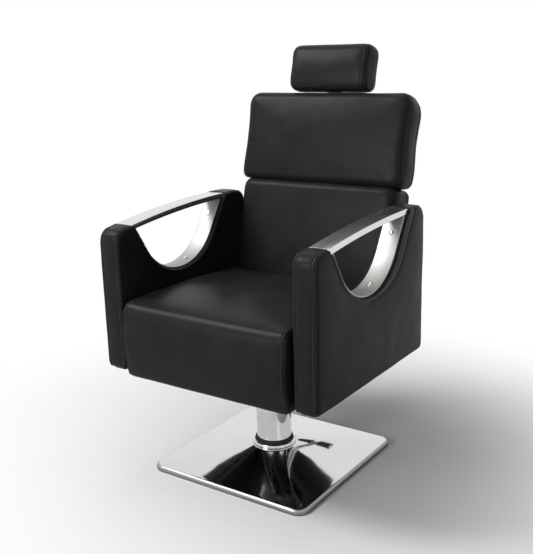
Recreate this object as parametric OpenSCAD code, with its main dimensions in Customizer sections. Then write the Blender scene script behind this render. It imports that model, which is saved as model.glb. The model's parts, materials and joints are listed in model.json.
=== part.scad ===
// Salon threading chair: a padded seat between two panel arms with steel armrests,
// a reclining two-cushion back with a sliding headrest, a hydraulic column that
// rises and swivels, and a square chromed base. The chair faces the negative Y side,
// and the origin is on the floor, on the column's axis.

/* [Base] */
// Side of the square base
base_w = 492; // [440:2:640]
// Radius of the base corners in plan
base_corner_r = 32; // [20:1:60]
// Height of the base rim above the floor
rim_h = 16; // [14:1:24]
// Height of the cover where it meets the trim ring
dome_h = 49; // [42:1:56]
// Thickness of the pressed cover
cover_t = 1.6; // [1:0.1:3]
// Thickness of the rubber strip under the base
strip_t = 2.5; // [1.5:0.5:4]
// Thickness of the ballast plate
ballast_t = 8; // [6:0.5:9]

/* [Column] */
// Outer radius of the chromed shroud
shroud_r = 49; // [46:1:52]
// Wall of the chromed shroud
shroud_t = 1.5; // [1:0.1:3]
// Height of the bottom of the shroud with the seat lowered
shroud_z = 67; // [62:1:74]
// Radius of the ram that stands in the base
ram_r = 25; // [20:0.5:27]
// Width of the trim ring, seen from above
ring_w = 10; // [8:0.5:14]
// Height of the trim ring
ring_h = 11; // [8:0.5:13]
// Travel of the seat from its lowest to its highest place
lift_travel = 130; // [100:5:140]
// Height of the top of the pump head with the seat lowered
head_top_z = 284; // [280:1:286]

/* [Foot pedal] */
// Distance from the column axis to the pedal bar
pedal_reach = 300; // [260:5:340]
// Diameter of the pedal bar
pedal_d = 16; // [12:1:18]
// Height of the pedal bar with the seat lowered
pedal_z = 172; // [140:2:200]
// Width of the pedal's cross bar
pedal_w = 110; // [90:5:140]

/* [Seat] */
// Overall width over the two arms
chair_w = 660; // [620:5:720]
// Distance from the column axis to the front of the arms
arm_front = 304; // [290:1:330]
// Distance from the column axis to the back of the arms
arm_back = 258; // [250:1:290]
// Height of the bottom of the arms above the floor
arm_bottom_z = 303; // [300:1:308]
// Thickness of the arm panels
arm_t = 70; // [62:1:80]
// How far the front of the seat cushion stands out before the arms
seat_lip = 17; // [5:1:25]
// Height of the seat cushion's front top edge
seat_front_z = 503; // [485:1:520]
// Height of the seat cushion's rear top edge
seat_rear_z = 491; // [475:1:505]
// Crown of the seat cushion along its length
seat_bow = 7; // [2:0.5:12]
// Crown of the seat cushion across its width
seat_crown = 8; // [2:0.5:12]
// Gap between the seat cushion and each arm
side_gap = 7; // [4:0.5:12]
// Thickness of the plywood of the seat frame
ply_t = 18; // [15:1:21]
// Height of the seat frame
frame_h = 109; // [100:1:112]
// Thickness of the seat board
board_t = 15; // [12:1:18]

/* [Arms] */
// Highest point of the armrest bar above the floor
bar_top_z = 712.5; // [700:0.5:730]
// Radius of the armrest's arch
arch_r = 2830; // [2200:10:4000]
// Distance from the column axis back to the top of the arch
arch_y = 147; // [120:1:170]
// Width of the armrest bar
bar_w = 54; // [44:1:56]
// Thickness of the armrest bar
bar_t = 15; // [10:0.5:18]
// How far the leather stands above the armrest bar
leather_rise = 3; // [1:0.5:5]
// Radius of the round cut-out in the arm
cut_r = 164; // [150:1:170]
// Distance from the top of the armrest bar down to the centre of the cut-out
cut_drop = 16.5; // [10:0.5:25]
// Distance from the column axis forward to the centre of the cut-out
cut_front = 48; // [40:1:55]
// Slope of the straight sides of the cut-out, from level
cut_slope = 59; // [55:1:68]
// Thickness of the steel liner in the cut-out
liner_t = 4; // [2:0.5:6]
// Width of the steel liner
liner_w = 53; // [40:1:54]
// Radius of the rounded edges of the arm panels
arm_edge_r = 10; // [6:0.5:10.5]

/* [Back] */
// Lean of the back from upright
back_lean = 14; // [10:1:18]
// Height of the recline hinge above the floor
hinge_z = 345; // [340:1:350]
// Distance from the column axis back to the recline hinge
hinge_y = 228; // [224:1:234]
// Gap between the lower back cushion and each arm
lower_gap = 6; // [5:0.5:15]
// Height of the crease between the back cushions above the armrest bar
crease_up = 17.7; // [10:0.1:30]
// How far the upper back cushion stands out over each arm
upper_over = 4; // [-10:1:20]
// Height of the upper back cushion
upper_h = 257; // [230:1:280]
// Depth of the back cushions before the hinge line
back_front = 97; // [92:1:104]
// Depth of the back cushions behind the hinge line
back_rear = 11; // [8:1:18]
// Thickness of the plywood back board
back_board_t = 15; // [12:1:16]

/* [Headrest] */
// Width of the headrest pillow
pillow_w = 252; // [220:2:300]
// Height of the headrest pillow
pillow_h = 133; // [110:1:160]
// Thickness of the headrest pillow
pillow_t = 82; // [70:1:95]
// Travel of the headrest
pillow_travel = 90; // [60:5:95]
// Width of the headrest's flat post
post_w = 38; // [30:1:44]
// Thickness of the headrest's flat post
post_t = 6; // [4:0.5:7]

/* [Mechanism] */
// Radius of the recline hinge pins
hinge_pin_r = 6; // [5:0.5:8]
// Radius of the recline strut's cylinder
strut_r = 11; // [9:0.5:12]
// Distance from the recline hinge to the strut's pin
horn_r = 36; // [34:1:38]
// Sideways place of the recline strut
strut_x = 110; // [104:1:120]
// Length of the strut's cylinder
strut_l = 174; // [160:1:185]

/* [Fits] */
// Gap between a piece and the seat it rests on
seat_gap = 0.3; // [0.2:0.05:0.4]
// Running clearance of turning and sliding pieces, on the radius
run_gap = 0.06; // [0.03:0.01:0.1]
// Clearance of bolts and screws in their holes, on the radius
hole_gap = 0.25; // [0.2:0.05:0.5]
// Clearance of the strut's open pivot round the horn's pin
loose_gap = 2.4; // [2.3:0.1:2.8]
// Overrun of a cut past the face that it opens
over = 1; // [0.5:0.5:2]

/* [Hidden] */

$fn = 64;
leather = [0.09, 0.09, 0.10];
chrome = [0.80, 0.80, 0.82];
steel = [0.45, 0.45, 0.48];
plywood = [0.72, 0.58, 0.40];
black = [0.05, 0.05, 0.05];

// Bolts and screws
bolt_r = 4;
bolt_head_r = 6.5;
bolt_head_h = 5;
screw_r = 2.5;
screw_head_r = 4.5;
screw_head_h = 2.6;

// Base and column
rim_edge_r = 4;
strip_w = 12;
strip_pad_r = 28;
dome_r = base_w / 2 - rim_edge_r;
ballast_half = (base_w - strip_w) / 2;
ballast_top = strip_t + ballast_t;
flange_r = 50;
flange_h = 8;
flange_bolt_r = 41;
collar_r = 32;
ram_hole_gap = 3;
ring_gap = 3.5;
ring_in = shroud_r + ring_gap;
ring_out = ring_in + ring_w;
tube_r = 36;
bush_t = 4;
bush_h = 30;
ram_spare = 4;
ram_top = shroud_z + lift_travel + bush_h + ram_spare;
head_z = ram_top + ram_spare;
head_r = 56;
spindle_r = 17.5;
bearing_r = 32;
bearing_h = 4;
nut_r = 26;
nut_h = 10;

// Foot pedal
pedal_eye_r = 13;
pedal_eye_w = 20;
pedal_pin_r = 5;
lug_t = 8;
pedal_gap = 3;
pedal_drop = 22;
pedal_pin_y = head_r + pedal_eye_r + pedal_gap;
pedal_pin_z = head_top_z - pedal_drop;
pedal_pad_r = 13;

// Seat frame
arm_in = chair_w / 2 - arm_t;
frame_half = arm_in - seat_gap;
frame_inset = 36;
frame_front = arm_front - frame_inset;
frame_back = 183;
frame_top = arm_bottom_z + frame_h;
board_top = frame_top + board_t;
plate_w = 180;
plate_t = 6;
bearer_x = 70;
bearer_w = 25;
bearer_h = 40;
plate_bolt = 70;
plate_bolt_l = 36;
arm_bolt_shares = [-0.66, -0.08, 0.42];
arm_bolt_up = 47;
arm_bolt_z = arm_bottom_z + arm_bolt_up;
arm_bolt_l = 58;

// Seat cushion
seat_half = arm_in - side_gap;
seat_front = arm_front + seat_lip;
seat_rear = 172;
seat_drop = 7;
seat_foot_r = 14;
seat_nose_r = 36;
seat_back_r = 20;
seat_edge_x = 16;
seat_edge = [8, 10, 6, 14];
seat_draw = 3;

// Arms
core_t = 36;
core_inset = 13;
arm_nose_r = 35;
arm_tail_r = 40;
arm_foot_r = 15;
horn_tip_r = 11;
liner_edge_r = 1;
bar_edge_r = 3;
bar_tuck = 8;
bar_inset = 5;
cut_steps = 16;
liner_screw_r = 6.3;
liner_screw_h = 3;
liner_screw_steps = 2.5;
liner_screw_up = 49;
liner_screw_l = 26;

// Back
lower_half = arm_in - lower_gap;
upper_half = arm_in + upper_over;
crease_u = (bar_top_z + crease_up - hinge_z) / cos(back_lean);
back_step_u = 100;
lower_u = 40;
board_front_v = -30;
board_side = 54;
board_half = lower_half - board_side;
board_foot_side = 12;
board_foot_half = board_half - board_foot_side;
board_foot_u = 25;
sleeve_up = 123;
sleeve_u = crease_u + sleeve_up;
sleeve_h = 80;
board_top_u = sleeve_u + sleeve_h;
crease_gap = 0.6;
lower_top = crease_u - crease_gap;
upper_top = crease_u + upper_h;
lower_thin = 12;
lower_corner_r = 27;
lower_foot_r = 24;
upper_foot_r = 26;
upper_top_r = 30;
upper_tail_r = 45;
upper_crest_r = 50;
pad_edge_x = 27;
lower_edge = [26, 12, 8, 24];
upper_edge = [26, 22, 10, 46];
pad_bow = 2;
pad_crown = 4;
pad_draw = 4;

// Recline hinge and its brackets
ear_t = 5;
ear_gap = 2;
ear_r = 14;
back_ear_x = board_foot_half + ear_gap;
seat_ear_x = back_ear_x + ear_t + ear_gap;
bracket_w = 42;
bracket_t = 5;
bracket_drop = 35;
bracket_z0 = hinge_z - bracket_drop;
bracket_h = 90;
pin_head_t = 6;
pin_head_r = 10;

// Recline strut, its horn and its lever
horn_turn = -60;
anchor_y = -100;
anchor_z = 330;
stud_r = 5;
stud_flange_r = 12;
stud_flange_t = 4;
rod_r = 5;
rod_eye_r = 10;
strut_eye_w = 16;
strut_eye_r = 12.5;
strut_neck = 40;
rod_tuck = 54;
strut_bore_l = 100;
strut_notch_gap = 10;
cheek_t = 4;
cheek_gap = 1;
lever_r = 4.5;
lever_knuckle_r = 6;
lever_drop = 7;
lever_z = arm_bottom_z - lever_drop;
lever_block_w = 16;
lever_block_h = 13;
lever_inset = 18;
lever_out_x = chair_w / 2 - lever_inset;
lever_reach = 90;
lever_turn = 15;
finger_t = 8;
finger_gap = 1;
finger_top = anchor_z - rod_eye_r - finger_gap;
grip_r = 7.5;
grip_l = 62;

// Headrest
post_inset = 9;
post_v = board_front_v - post_inset;
post_hold = 22;
post_foot_u = sleeve_u + post_hold - pillow_travel;
sleeve_t = 3;
pillow_front_v = -101;
pillow_lift = 0.5;
pillow_u = upper_top + pad_bow + pillow_lift;
pillow_r = 30;
pillow_edge_x = 18;
pillow_edge = [18, 18, 14, 18];
pillow_crown = 2;
pillow_plate_w = 120;
pillow_plate_h = 60;
knob_u = sleeve_u + sleeve_h / 2;
knob_r = 18;
knob_h = 20;
knob_gap = 2;
knob_neck_r = 9;
knob_stem_r = 5;

// Places worked out from the sizes above
cut_c = [-cut_front, bar_top_z - cut_drop];
arch_c = [arch_y, bar_top_z - arch_r];
horn_pin = [hinge_y + horn_r * cos(horn_turn), hinge_z + horn_r * sin(horn_turn)];
strut_reach = norm(horn_pin - [anchor_y, anchor_z]);
strut_turn = atan2(horn_pin[1] - anchor_z, horn_pin[0] - anchor_y);

// Points of an arc, each with its outward direction and its share of the crown.
// A face of 1 is a round corner, and a face of -1 the wall of a round cut.
function arc(c, r, a0, a1, n, face = 1) =
    [for (i = [0:n]) let (a = a0 + (a1 - a0) * i / n, d = [cos(a), sin(a)])
        [c + r * d, face * d, 0]];

// Points from p to q on a shallow bow of height h, with the crown's share rising to full
function bow(p, q, h, n, face = 1, full = 1) =
    let (d = (q - p) / norm(q - p), w = face * [-d[1], d[0]])
    [for (i = [0:n]) let (t = i / n, s = 4 * t * (1 - t)) [p + (q - p) * t + h * s * w, w, full * s]];

// A single outline point that faces the direction w, or stays put where w is left out
function spot(p, w = [0, 0]) = [[p, w, 0]];

// Rows across a padded form: place, share of the edge rounding and share of the crown
function rows(half, edge_x, n_mid) =
    let (flat = half - edge_x)
    concat(
        [for (a = [0, 30, 60]) [-flat - edge_x * cos(a), 1 - sin(a), 0]],
        [for (i = [0:n_mid]) let (s = 2 * i / n_mid - 1) [flat * s, 0, cos(90 * s)]],
        [for (a = [60, 30, 0]) [flat + edge_x * cos(a), 1 - sin(a), 0]]);

// An outline point on a row. A number for edge rounds every side alike, along the point's own
// direction. A list of front, rear, foot and top draws the sides in towards the row's end.
function soft_point(q, row, half, span, edge, crown, draw) =
    let (p = q[0], w = q[1], side = row[0] / half,
        in = is_num(edge) ? edge * w
            : [draw_in(p[0], w[0], span[0], edge[0], edge[1]),
                draw_in(p[1], w[1], span[1], edge[2], edge[3])])
    concat(row[0] - draw * q[2] * side * abs(side), p + w * crown * q[2] * row[2] - in * row[1]);

function draw_in(at, w, span, low, high) =
    let (t = (2 * at - span[0] - span[1]) / (span[1] - span[0]))
    abs(w) < 0.01 ? 0 : pow(t, 3) * (t < 0 ? low : high);

// Triangles that close an end between chain one of m points and chain two of n points
function end_faces(m, n) =
    concat(
        [for (i = [0:m - 2]) let (j = ceil((i + 0.5) * (n - 1) / (m - 1) - 0.5))
            [i, i + 1, m + n - 1 - j]],
        [for (j = [0:n - 2]) let (i = floor((j + 0.5) * (m - 1) / (n - 1) + 0.5))
            [i, m + n - 2 - j, m + n - 1 - j]]);

function flipped(f) = [f[2], f[1], f[0]];

// A closed padded form: an outline of two chains, set out on rows across the chair
module padded(one, two, rows, edge, crown = 0, draw = 0) {
    m = len(one);
    n = len(two);
    k = m + n;
    last = len(rows) - 1;
    half = rows[last][0];
    ring = concat(one, [for (j = [n - 1:-1:0]) two[j]]);
    span = [for (i = [0, 1]) let (at = [for (q = ring) q[0][i]]) [min(at), max(at)]];
    points = [for (row = rows, q = ring) soft_point(q, row, half, span, edge, crown, draw)];
    walls = [for (i = [0:last - 1], j = [0:k - 1])
        let (a = i * k + j, b = i * k + (j + 1) % k)
        each [[a, b, a + k], [b, b + k, a + k]]];
    ends = end_faces(m, n);
    polyhedron(points, concat(walls,
        [for (f = ends) flipped(f)],
        [for (f = ends) [f[0] + last * k, f[1] + last * k, f[2] + last * k]]));
}

// Height of the arch above the floor at a place y, lowered by drop
function arch_z(y, drop = 0) = arch_c[1] + sqrt(pow(arch_r, 2) - pow(y - arch_y, 2)) - drop;

// Flat shapes
module round_square(half, r) {
    square([2 * half, 2 * (half - r)], center = true);
    square([2 * (half - r), 2 * half], center = true);
    for (x = [-1, 1], y = [-1, 1])
        translate([x * (half - r), y * (half - r)])
            circle(r);
}

module ring_shape(r_out, r_in) {
    difference() {
        circle(r_out);
        circle(r_in);
    }
}

// A rod of radius r from p to q
module rod(p, q, r) {
    d = q - p;
    translate(p)
        rotate([0, acos(d[2] / norm(d)), atan2(d[1], d[0])])
            cylinder(h = norm(d), r = r);
}

// A cylinder along X from x0 to x1, in the line y, z
module cross_pin(x0, x1, y, z, r) {
    translate([x0, y, z])
        rotate([0, 90, 0])
            cylinder(h = x1 - x0, r = r);
}

// A flat shape in the plane of y and z, thick from x0 to x1
module side_plate(x0, x1) {
    translate([x0, 0, 0])
        rotate([90, 0, 90])
            linear_extrude(height = x1 - x0)
                children();
}

module both_sides() {
    children();
    mirror([1, 0, 0])
        children();
}

// The frame of the back: y is the depth and z the height along the leaning back
module on_back() {
    translate([0, hinge_y, hinge_z])
        rotate([-back_lean, 0, 0])
            children();
}

// Base
module edge_shape(half, z0, z1, r) {
    translate([-half, z0])
        square([2 * half, z1 - z0 - r]);
    translate([r - half, z0])
        square([2 * (half - r), z1 - z0]);
    for (x = [-1, 1])
        translate([x * (half - r), z1 - r])
            circle(r);
}

module rim_block(half, corner_r, z0, z1, r) {
    for (turn = [0, 90])
        rotate([90, 0, turn])
            linear_extrude(height = 2 * (half - corner_r), center = true)
                edge_shape(half, z0, z1, r);
    for (x = [-1, 1], y = [-1, 1])
        translate([x * (half - corner_r), y * (half - corner_r), 0])
            rotate_extrude()
                intersection() {
                    edge_shape(corner_r, z0, z1, r);
                    square([corner_r, z1]);
                }
}

// The cover rises from the rim to the trim ring as a shallow cone
module dome_shape(drop) {
    polygon([[0, strip_t + cover_t], [0, dome_h - drop], [ring_out, dome_h - drop],
        [dome_r, rim_h - drop], [dome_r, strip_t + cover_t]]);
}

// A strip round the edge, and a round pad in the middle that the base can't rock on
module base_strip() {
    color(black)
        linear_extrude(height = strip_t) {
            difference() {
                round_square(base_w / 2 - cover_t / 2, base_corner_r - cover_t / 2);
                round_square(base_w / 2 - strip_w, base_corner_r - strip_w);
            }
            circle(strip_pad_r);
        }
}

module ram_bolt_places() {
    for (a = [45:90:315])
        rotate([0, 0, a])
            translate([flange_bolt_r, 0, 0])
                children();
}

module base_ballast() {
    color(steel)
        difference() {
            translate([0, 0, strip_t])
                linear_extrude(height = ballast_t)
                    round_square(ballast_half, base_corner_r - strip_w / 2);
            ram_bolt_places()
                translate([0, 0, strip_t - over])
                    cylinder(h = ballast_t + 2 * over, r = bolt_r + hole_gap);
        }
}

module base_cover() {
    color(chrome)
        difference() {
            union() {
                rim_block(base_w / 2, base_corner_r, strip_t, rim_h, rim_edge_r);
                rotate_extrude()
                    dome_shape(0);
            }
            translate([0, 0, -over])
                rim_block(base_w / 2 - cover_t, base_corner_r - cover_t, strip_t,
                    rim_h - cover_t + over, rim_edge_r - cover_t);
            rotate_extrude()
                dome_shape(cover_t);
            cylinder(h = dome_h + over, r = ram_r + ram_hole_gap);
        }
}

module trim_ring() {
    color(chrome)
        translate([0, 0, dome_h])
            rotate_extrude()
                union() {
                    translate([ring_in, 0])
                        square([ring_w, ring_h - ring_w / 2]);
                    translate([ring_in + ring_w / 2, ring_h - ring_w / 2])
                        circle(ring_w / 2);
                }
}

module stop_ring() {
    color(black)
        translate([0, 0, dome_h])
            linear_extrude(height = shroud_z - seat_gap - dome_h)
                ring_shape(ring_in - seat_gap, ram_r + ram_hole_gap);
}

module ram() {
    color(steel)
        difference() {
            union() {
                translate([0, 0, ballast_top])
                    cylinder(h = flange_h, r = flange_r);
                translate([0, 0, ballast_top])
                    cylinder(h = dome_h - cover_t - ballast_top, r = collar_r - over);
                translate([0, 0, ballast_top])
                    cylinder(h = ram_top - ballast_top, r = ram_r);
            }
            ram_bolt_places()
                cylinder(h = dome_h, r = bolt_r + hole_gap);
        }
}

module ram_bolts() {
    color(steel)
        ram_bolt_places() {
            translate([0, 0, strip_t])
                cylinder(h = ballast_t + flange_h, r = bolt_r);
            translate([0, 0, ballast_top + flange_h])
                cylinder(h = bolt_head_h, r = bolt_head_r, $fn = 6);
        }
}

// Pump, which rises with the seat
module pump_cylinder() {
    color(steel)
        translate([0, 0, shroud_z])
            linear_extrude(height = head_z - shroud_z)
                ring_shape(tube_r, ram_r + bush_t);
}

module guide_bush() {
    color("darkgoldenrod")
        translate([0, 0, shroud_z])
            linear_extrude(height = bush_h)
                ring_shape(ram_r + bush_t, ram_r + run_gap);
}

module pump_shroud() {
    color(chrome)
        translate([0, 0, shroud_z])
            linear_extrude(height = head_z - shroud_z)
                ring_shape(shroud_r, shroud_r - shroud_t);
}

module pump_head() {
    lug_x = pedal_eye_w / 2 + seat_gap;
    color(steel)
        difference() {
            union() {
                translate([0, 0, head_z])
                    cylinder(h = head_top_z - head_z, r = head_r);
                translate([0, 0, head_top_z])
                    cylinder(h = arm_bottom_z + nut_h - head_top_z, r = spindle_r);
                both_sides() {
                    translate([lug_x, 0, pedal_pin_z - pedal_eye_r])
                        cube([lug_t, pedal_pin_y, 2 * pedal_eye_r]);
                    cross_pin(lug_x, lug_x + lug_t, pedal_pin_y, pedal_pin_z, pedal_eye_r);
                }
            }
            cross_pin(-lug_x - lug_t - over, lug_x + lug_t + over, pedal_pin_y, pedal_pin_z,
                pedal_pin_r + run_gap / 2);
        }
}

module thrust_bearing() {
    color(steel)
        translate([0, 0, head_top_z])
            linear_extrude(height = bearing_h)
                ring_shape(bearing_r, spindle_r + run_gap);
}

module spindle_nut() {
    color(steel)
        translate([0, 0, arm_bottom_z + seat_gap])
            difference() {
                cylinder(h = nut_h - seat_gap, r = nut_r, $fn = 6);
                translate([0, 0, -over])
                    cylinder(h = nut_h + 2 * over, r = spindle_r + run_gap / 2);
            }
}

module pedal_pin() {
    lug_x = pedal_eye_w / 2 + seat_gap + lug_t;
    color(steel)
        union() {
            cross_pin(-lug_x - pedal_pin_r / 2, lug_x, pedal_pin_y, pedal_pin_z, pedal_pin_r);
            cross_pin(lug_x, lug_x + pedal_pin_r / 2, pedal_pin_y, pedal_pin_z, pedal_pin_r * 1.5);
        }
}

module pump_pedal() {
    end = [0, pedal_reach, pedal_z];
    color(chrome)
        difference() {
            union() {
                cross_pin(-pedal_eye_w / 2, pedal_eye_w / 2, pedal_pin_y, pedal_pin_z, pedal_eye_r);
                rod([0, pedal_pin_y, pedal_pin_z], end, pedal_d / 2);
                cross_pin(-pedal_w / 2, pedal_w / 2, pedal_reach, pedal_z, pedal_d / 2);
            }
            cross_pin(-pedal_eye_w, pedal_eye_w, pedal_pin_y, pedal_pin_z, pedal_pin_r + run_gap);
        }
}

// Two ribbed rubber sleeves on the pedal's cross bar, either side of the lever
module pedal_pad() {
    sleeve_l = (pedal_w - pedal_d * 1.5) / 2;
    ribs = 6;
    color(black)
        both_sides()
            translate([pedal_w / 2 - sleeve_l, pedal_reach, pedal_z])
                rotate([0, 90, 0])
                    rotate_extrude()
                        difference() {
                            square([pedal_pad_r, sleeve_l]);
                            square([pedal_d / 2, sleeve_l]);
                            for (i = [1:ribs - 1])
                                translate([pedal_pad_r, i * sleeve_l / ribs])
                                    circle(sleeve_l / ribs / 4, $fn = 16);
                        }
}

// Seat
module plate_bolt_places() {
    for (x = [-1, 1], y = [-1, 1])
        translate([x * plate_bolt, y * plate_bolt, 0])
            children();
}

module mount_plate() {
    hub_z = head_top_z + bearing_h + seat_gap;
    color(steel)
        difference() {
            union() {
                translate([0, 0, arm_bottom_z - plate_t])
                    linear_extrude(height = plate_t)
                        round_square(plate_w / 2, plate_t);
                translate([0, 0, hub_z])
                    cylinder(h = arm_bottom_z - hub_z, r = bearing_r);
            }
            translate([0, 0, hub_z - over])
                cylinder(h = arm_bottom_z - hub_z + 2 * over, r = spindle_r + run_gap);
            plate_bolt_places()
                translate([0, 0, arm_bottom_z - plate_t - over])
                    cylinder(h = plate_t + 2 * over, r = bolt_r + hole_gap);
        }
}

module mount_bolts() {
    color(steel)
        plate_bolt_places()
            translate([0, 0, arm_bottom_z - plate_t]) {
                cylinder(h = plate_bolt_l, r = bolt_r);
                translate([0, 0, -bolt_head_h])
                    cylinder(h = bolt_head_h, r = bolt_head_r, $fn = 6);
            }
}

module seat_bearers() {
    color(plywood)
        difference() {
            both_sides()
                translate([bearer_x - bearer_w / 2, ply_t - frame_front, arm_bottom_z])
                    cube([bearer_w, frame_front + frame_back - 2 * ply_t, bearer_h]);
            plate_bolt_places()
                translate([0, 0, arm_bottom_z - over])
                    cylinder(h = plate_bolt_l, r = bolt_r + hole_gap);
        }
}

module arm_bolt_holes(x0, x1, r) {
    for (share = arm_bolt_shares)
        cross_pin(x0, x1, share * arm_front, arm_bolt_z, r);
}

module seat_frame() {
    notch_w = 2 * strut_eye_w;
    notch_h = 2 * strut_r + strut_notch_gap;
    color(plywood)
        difference() {
            translate([-frame_half, -frame_front, arm_bottom_z])
                cube([2 * frame_half, frame_front + frame_back, frame_h]);
            translate([ply_t - frame_half, ply_t - frame_front, arm_bottom_z - over])
                cube([2 * (frame_half - ply_t), frame_front + frame_back - 2 * ply_t,
                    frame_h + 2 * over]);
            translate([-strut_x - notch_w / 2, frame_back - ply_t - over, arm_bottom_z - over])
                cube([notch_w, ply_t + 2 * over, notch_h]);
            arm_bolt_holes(-frame_half - over, frame_half + over, bolt_r + hole_gap);
            both_sides()
                bracket_bolt_places(frame_back + over, ply_t / 2 + over, bolt_r + hole_gap);
        }
}

module seat_board() {
    color(plywood)
        translate([-frame_half, -frame_front, frame_top])
            cube([2 * frame_half, frame_front + frame_back, board_t]);
}

// The cushion lies on the board and rolls down over the front of the frame
module seat_cushion() {
    roll_back = -frame_front - seat_gap;
    foot_z = arm_bottom_z - seat_drop;
    foot = [seat_foot_r - seat_front + seat_bow, foot_z + seat_foot_r];
    nose = [seat_nose_r - seat_front + seat_bow / 2, seat_front_z - seat_nose_r];
    tail = [seat_rear - seat_back_r, seat_rear_z - seat_back_r];
    outer = concat(
        spot([roll_back, foot_z], [0, -1]),
        arc(foot, seat_foot_r, 270, 180, 3),
        bow(foot + [-seat_foot_r, seat_foot_r / 2], nose + [-seat_nose_r, -seat_foot_r], seat_bow,
            5, 1, 0.4),
        arc(nose, seat_nose_r, 180, 95, 5),
        bow(nose + [seat_foot_r / 2, seat_nose_r], tail + [-seat_foot_r, seat_back_r], seat_bow, 8),
        arc(tail, seat_back_r, 80, 0, 3));
    inner = [for (p = [[roll_back, foot_z + seat_foot_r * 2], [roll_back, frame_top],
        [roll_back, board_top + seat_gap], [-frame_front / 2, board_top + seat_gap],
        [0, board_top + seat_gap], [seat_rear, board_top + seat_gap]]) each spot(p)];
    color(leather)
        padded(outer, inner, rows(seat_half, seat_edge_x, 6), seat_edge, seat_crown, seat_draw);
}

// Arms. The tip of each horn is round, between the arch and the slope of the cut-out.
function slope_way(side) = [side * sin(cut_slope), -cos(cut_slope)];

function tip_centre(side, rise) =
    let (z = arch_z(cut_c[0] + side * cut_r, -rise) - horn_tip_r,
        y = tip_y(side, z), z2 = arch_z(y, -rise) - horn_tip_r)
    [tip_y(side, z2), z2];

function tip_y(side, z) =
    cut_c[0] + side * (cut_r + horn_tip_r + cos(cut_slope) * (z - cut_c[1])) / sin(cut_slope);

function arm_outer() =
    let (nose_y = arm_nose_r - arm_front, tail_y = arm_back - arm_tail_r,
        front_tip = tip_centre(-1, leather_rise), rear_tip = tip_centre(1, leather_rise),
        mid_z = (arm_bottom_z + bar_top_z) / 2, low_z = arm_bottom_z + arm_foot_r,
        step = arm_front / 3)
    concat(
        spot(front_tip + [0, horn_tip_r], [0, 1]),
        arc([nose_y, arch_z(nose_y, arm_nose_r - leather_rise)], arm_nose_r, 90, 180, 4),
        spot([-arm_front, mid_z], [-1, 0]),
        arc([arm_foot_r - arm_front, low_z], arm_foot_r, 180, 270, 2),
        [for (i = [-1:1]) each spot([i * step, arm_bottom_z], [0, -1])],
        arc([arm_back - arm_foot_r, low_z], arm_foot_r, 270, 360, 2),
        spot([arm_back, mid_z], [1, 0]),
        arc([tail_y, arch_z(tail_y, arm_tail_r - leather_rise)], arm_tail_r, 0, 90, 4),
        spot(rear_tip + [0, horn_tip_r], [0, 1]));

function arm_inner() =
    concat(
        arc(tip_centre(-1, leather_rise), horn_tip_r, 75, 90 - cut_slope, 2),
        arc(cut_c, cut_r, 270 - cut_slope, 270 + cut_slope, cut_steps, -1),
        arc(tip_centre(1, leather_rise), horn_tip_r, 90 + cut_slope, 105, 2));

function flat_points(chain) = [for (q = chain) q[0]];

module arm_shape() {
    polygon(concat(flat_points(arm_outer()), [for (i = [len(arm_inner()) - 1:-1:0]) arm_inner()[i][0]]));
}

module core_shape(inset) {
    union() {
        offset(delta = -inset)
            arm_shape();
        translate([inset - arm_front, arm_bottom_z])
            square([arm_front + arm_back - 2 * inset, core_inset + arm_foot_r]);
    }
}

module arm_core() {
    x0 = arm_in + (arm_t - core_t) / 2;
    color(plywood)
        difference() {
            side_plate(x0, x0 + core_t)
                core_shape(core_inset);
            arm_bolt_holes(x0 - over, x0 + core_t - ply_t / 2, bolt_r + hole_gap);
            liner_screw_places()
                translate([0, 0, -liner_screw_l])
                    cylinder(h = liner_screw_l, r = screw_r + hole_gap);
        }
}

module arm_cover() {
    x0 = arm_in + (arm_t - core_t) / 2 - seat_gap;
    color(leather)
        difference() {
            translate([arm_in + arm_t / 2, 0, 0])
                padded(arm_inner(), arm_outer(), rows(arm_t / 2, arm_edge_r, 1), arm_edge_r);
            side_plate(x0, x0 + core_t + 2 * seat_gap) {
                core_shape(core_inset - seat_gap);
                translate([core_inset - arm_front, arm_bottom_z - over])
                    square([arm_front + arm_back - 2 * core_inset, 2 * over]);
            }
            side_plate(bar_x() - bar_w / 2 - seat_gap, chair_w / 2 + over)
                bar_shape(seat_gap);
            arm_bolt_holes(arm_in - over, x0 + over, bolt_r + hole_gap);
            liner_screw_places()
                translate([0, 0, -core_inset * 2])
                    cylinder(h = core_inset * 2, r = screw_r + hole_gap);
        }
}

// Armrest bar, tucked into the horns at its slanting ends
function bar_x() = chair_w / 2 - bar_inset - bar_w / 2;

function bar_end(side, drop, more) =
    let (z = arch_z(cut_c[0] + side * cut_r, drop), y = bar_end_y(side, z, more),
        z2 = arch_z(y, drop))
    [bar_end_y(side, z2, more), z2];

function bar_end_y(side, z, more) =
    cut_c[0] + side * (cut_r + more + cos(cut_slope) * (z - cut_c[1])) / sin(cut_slope);

function bar_edge(drop, more, face) =
    let (p = bar_end(-1, drop, more), q = bar_end(1, drop, more), n = 12)
    [for (i = [0:n]) let (y = p[0] + (q[0] - p[0]) * i / n) [[y, arch_z(y, drop)], [0, face], 0]];

module bar_shape(gap) {
    top = bar_edge(-gap, bar_tuck + gap, 1);
    low = bar_edge(bar_t + gap, bar_tuck + gap, -1);
    polygon(concat(flat_points(top), [for (i = [len(low) - 1:-1:0]) low[i][0]]));
}

module armrest_bar() {
    color(chrome)
        translate([bar_x(), 0, 0])
            padded(bar_edge(0, bar_tuck, 1), bar_edge(bar_t, bar_tuck, -1),
                rows(bar_w / 2, bar_edge_r, 1), bar_edge_r);
}

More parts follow.
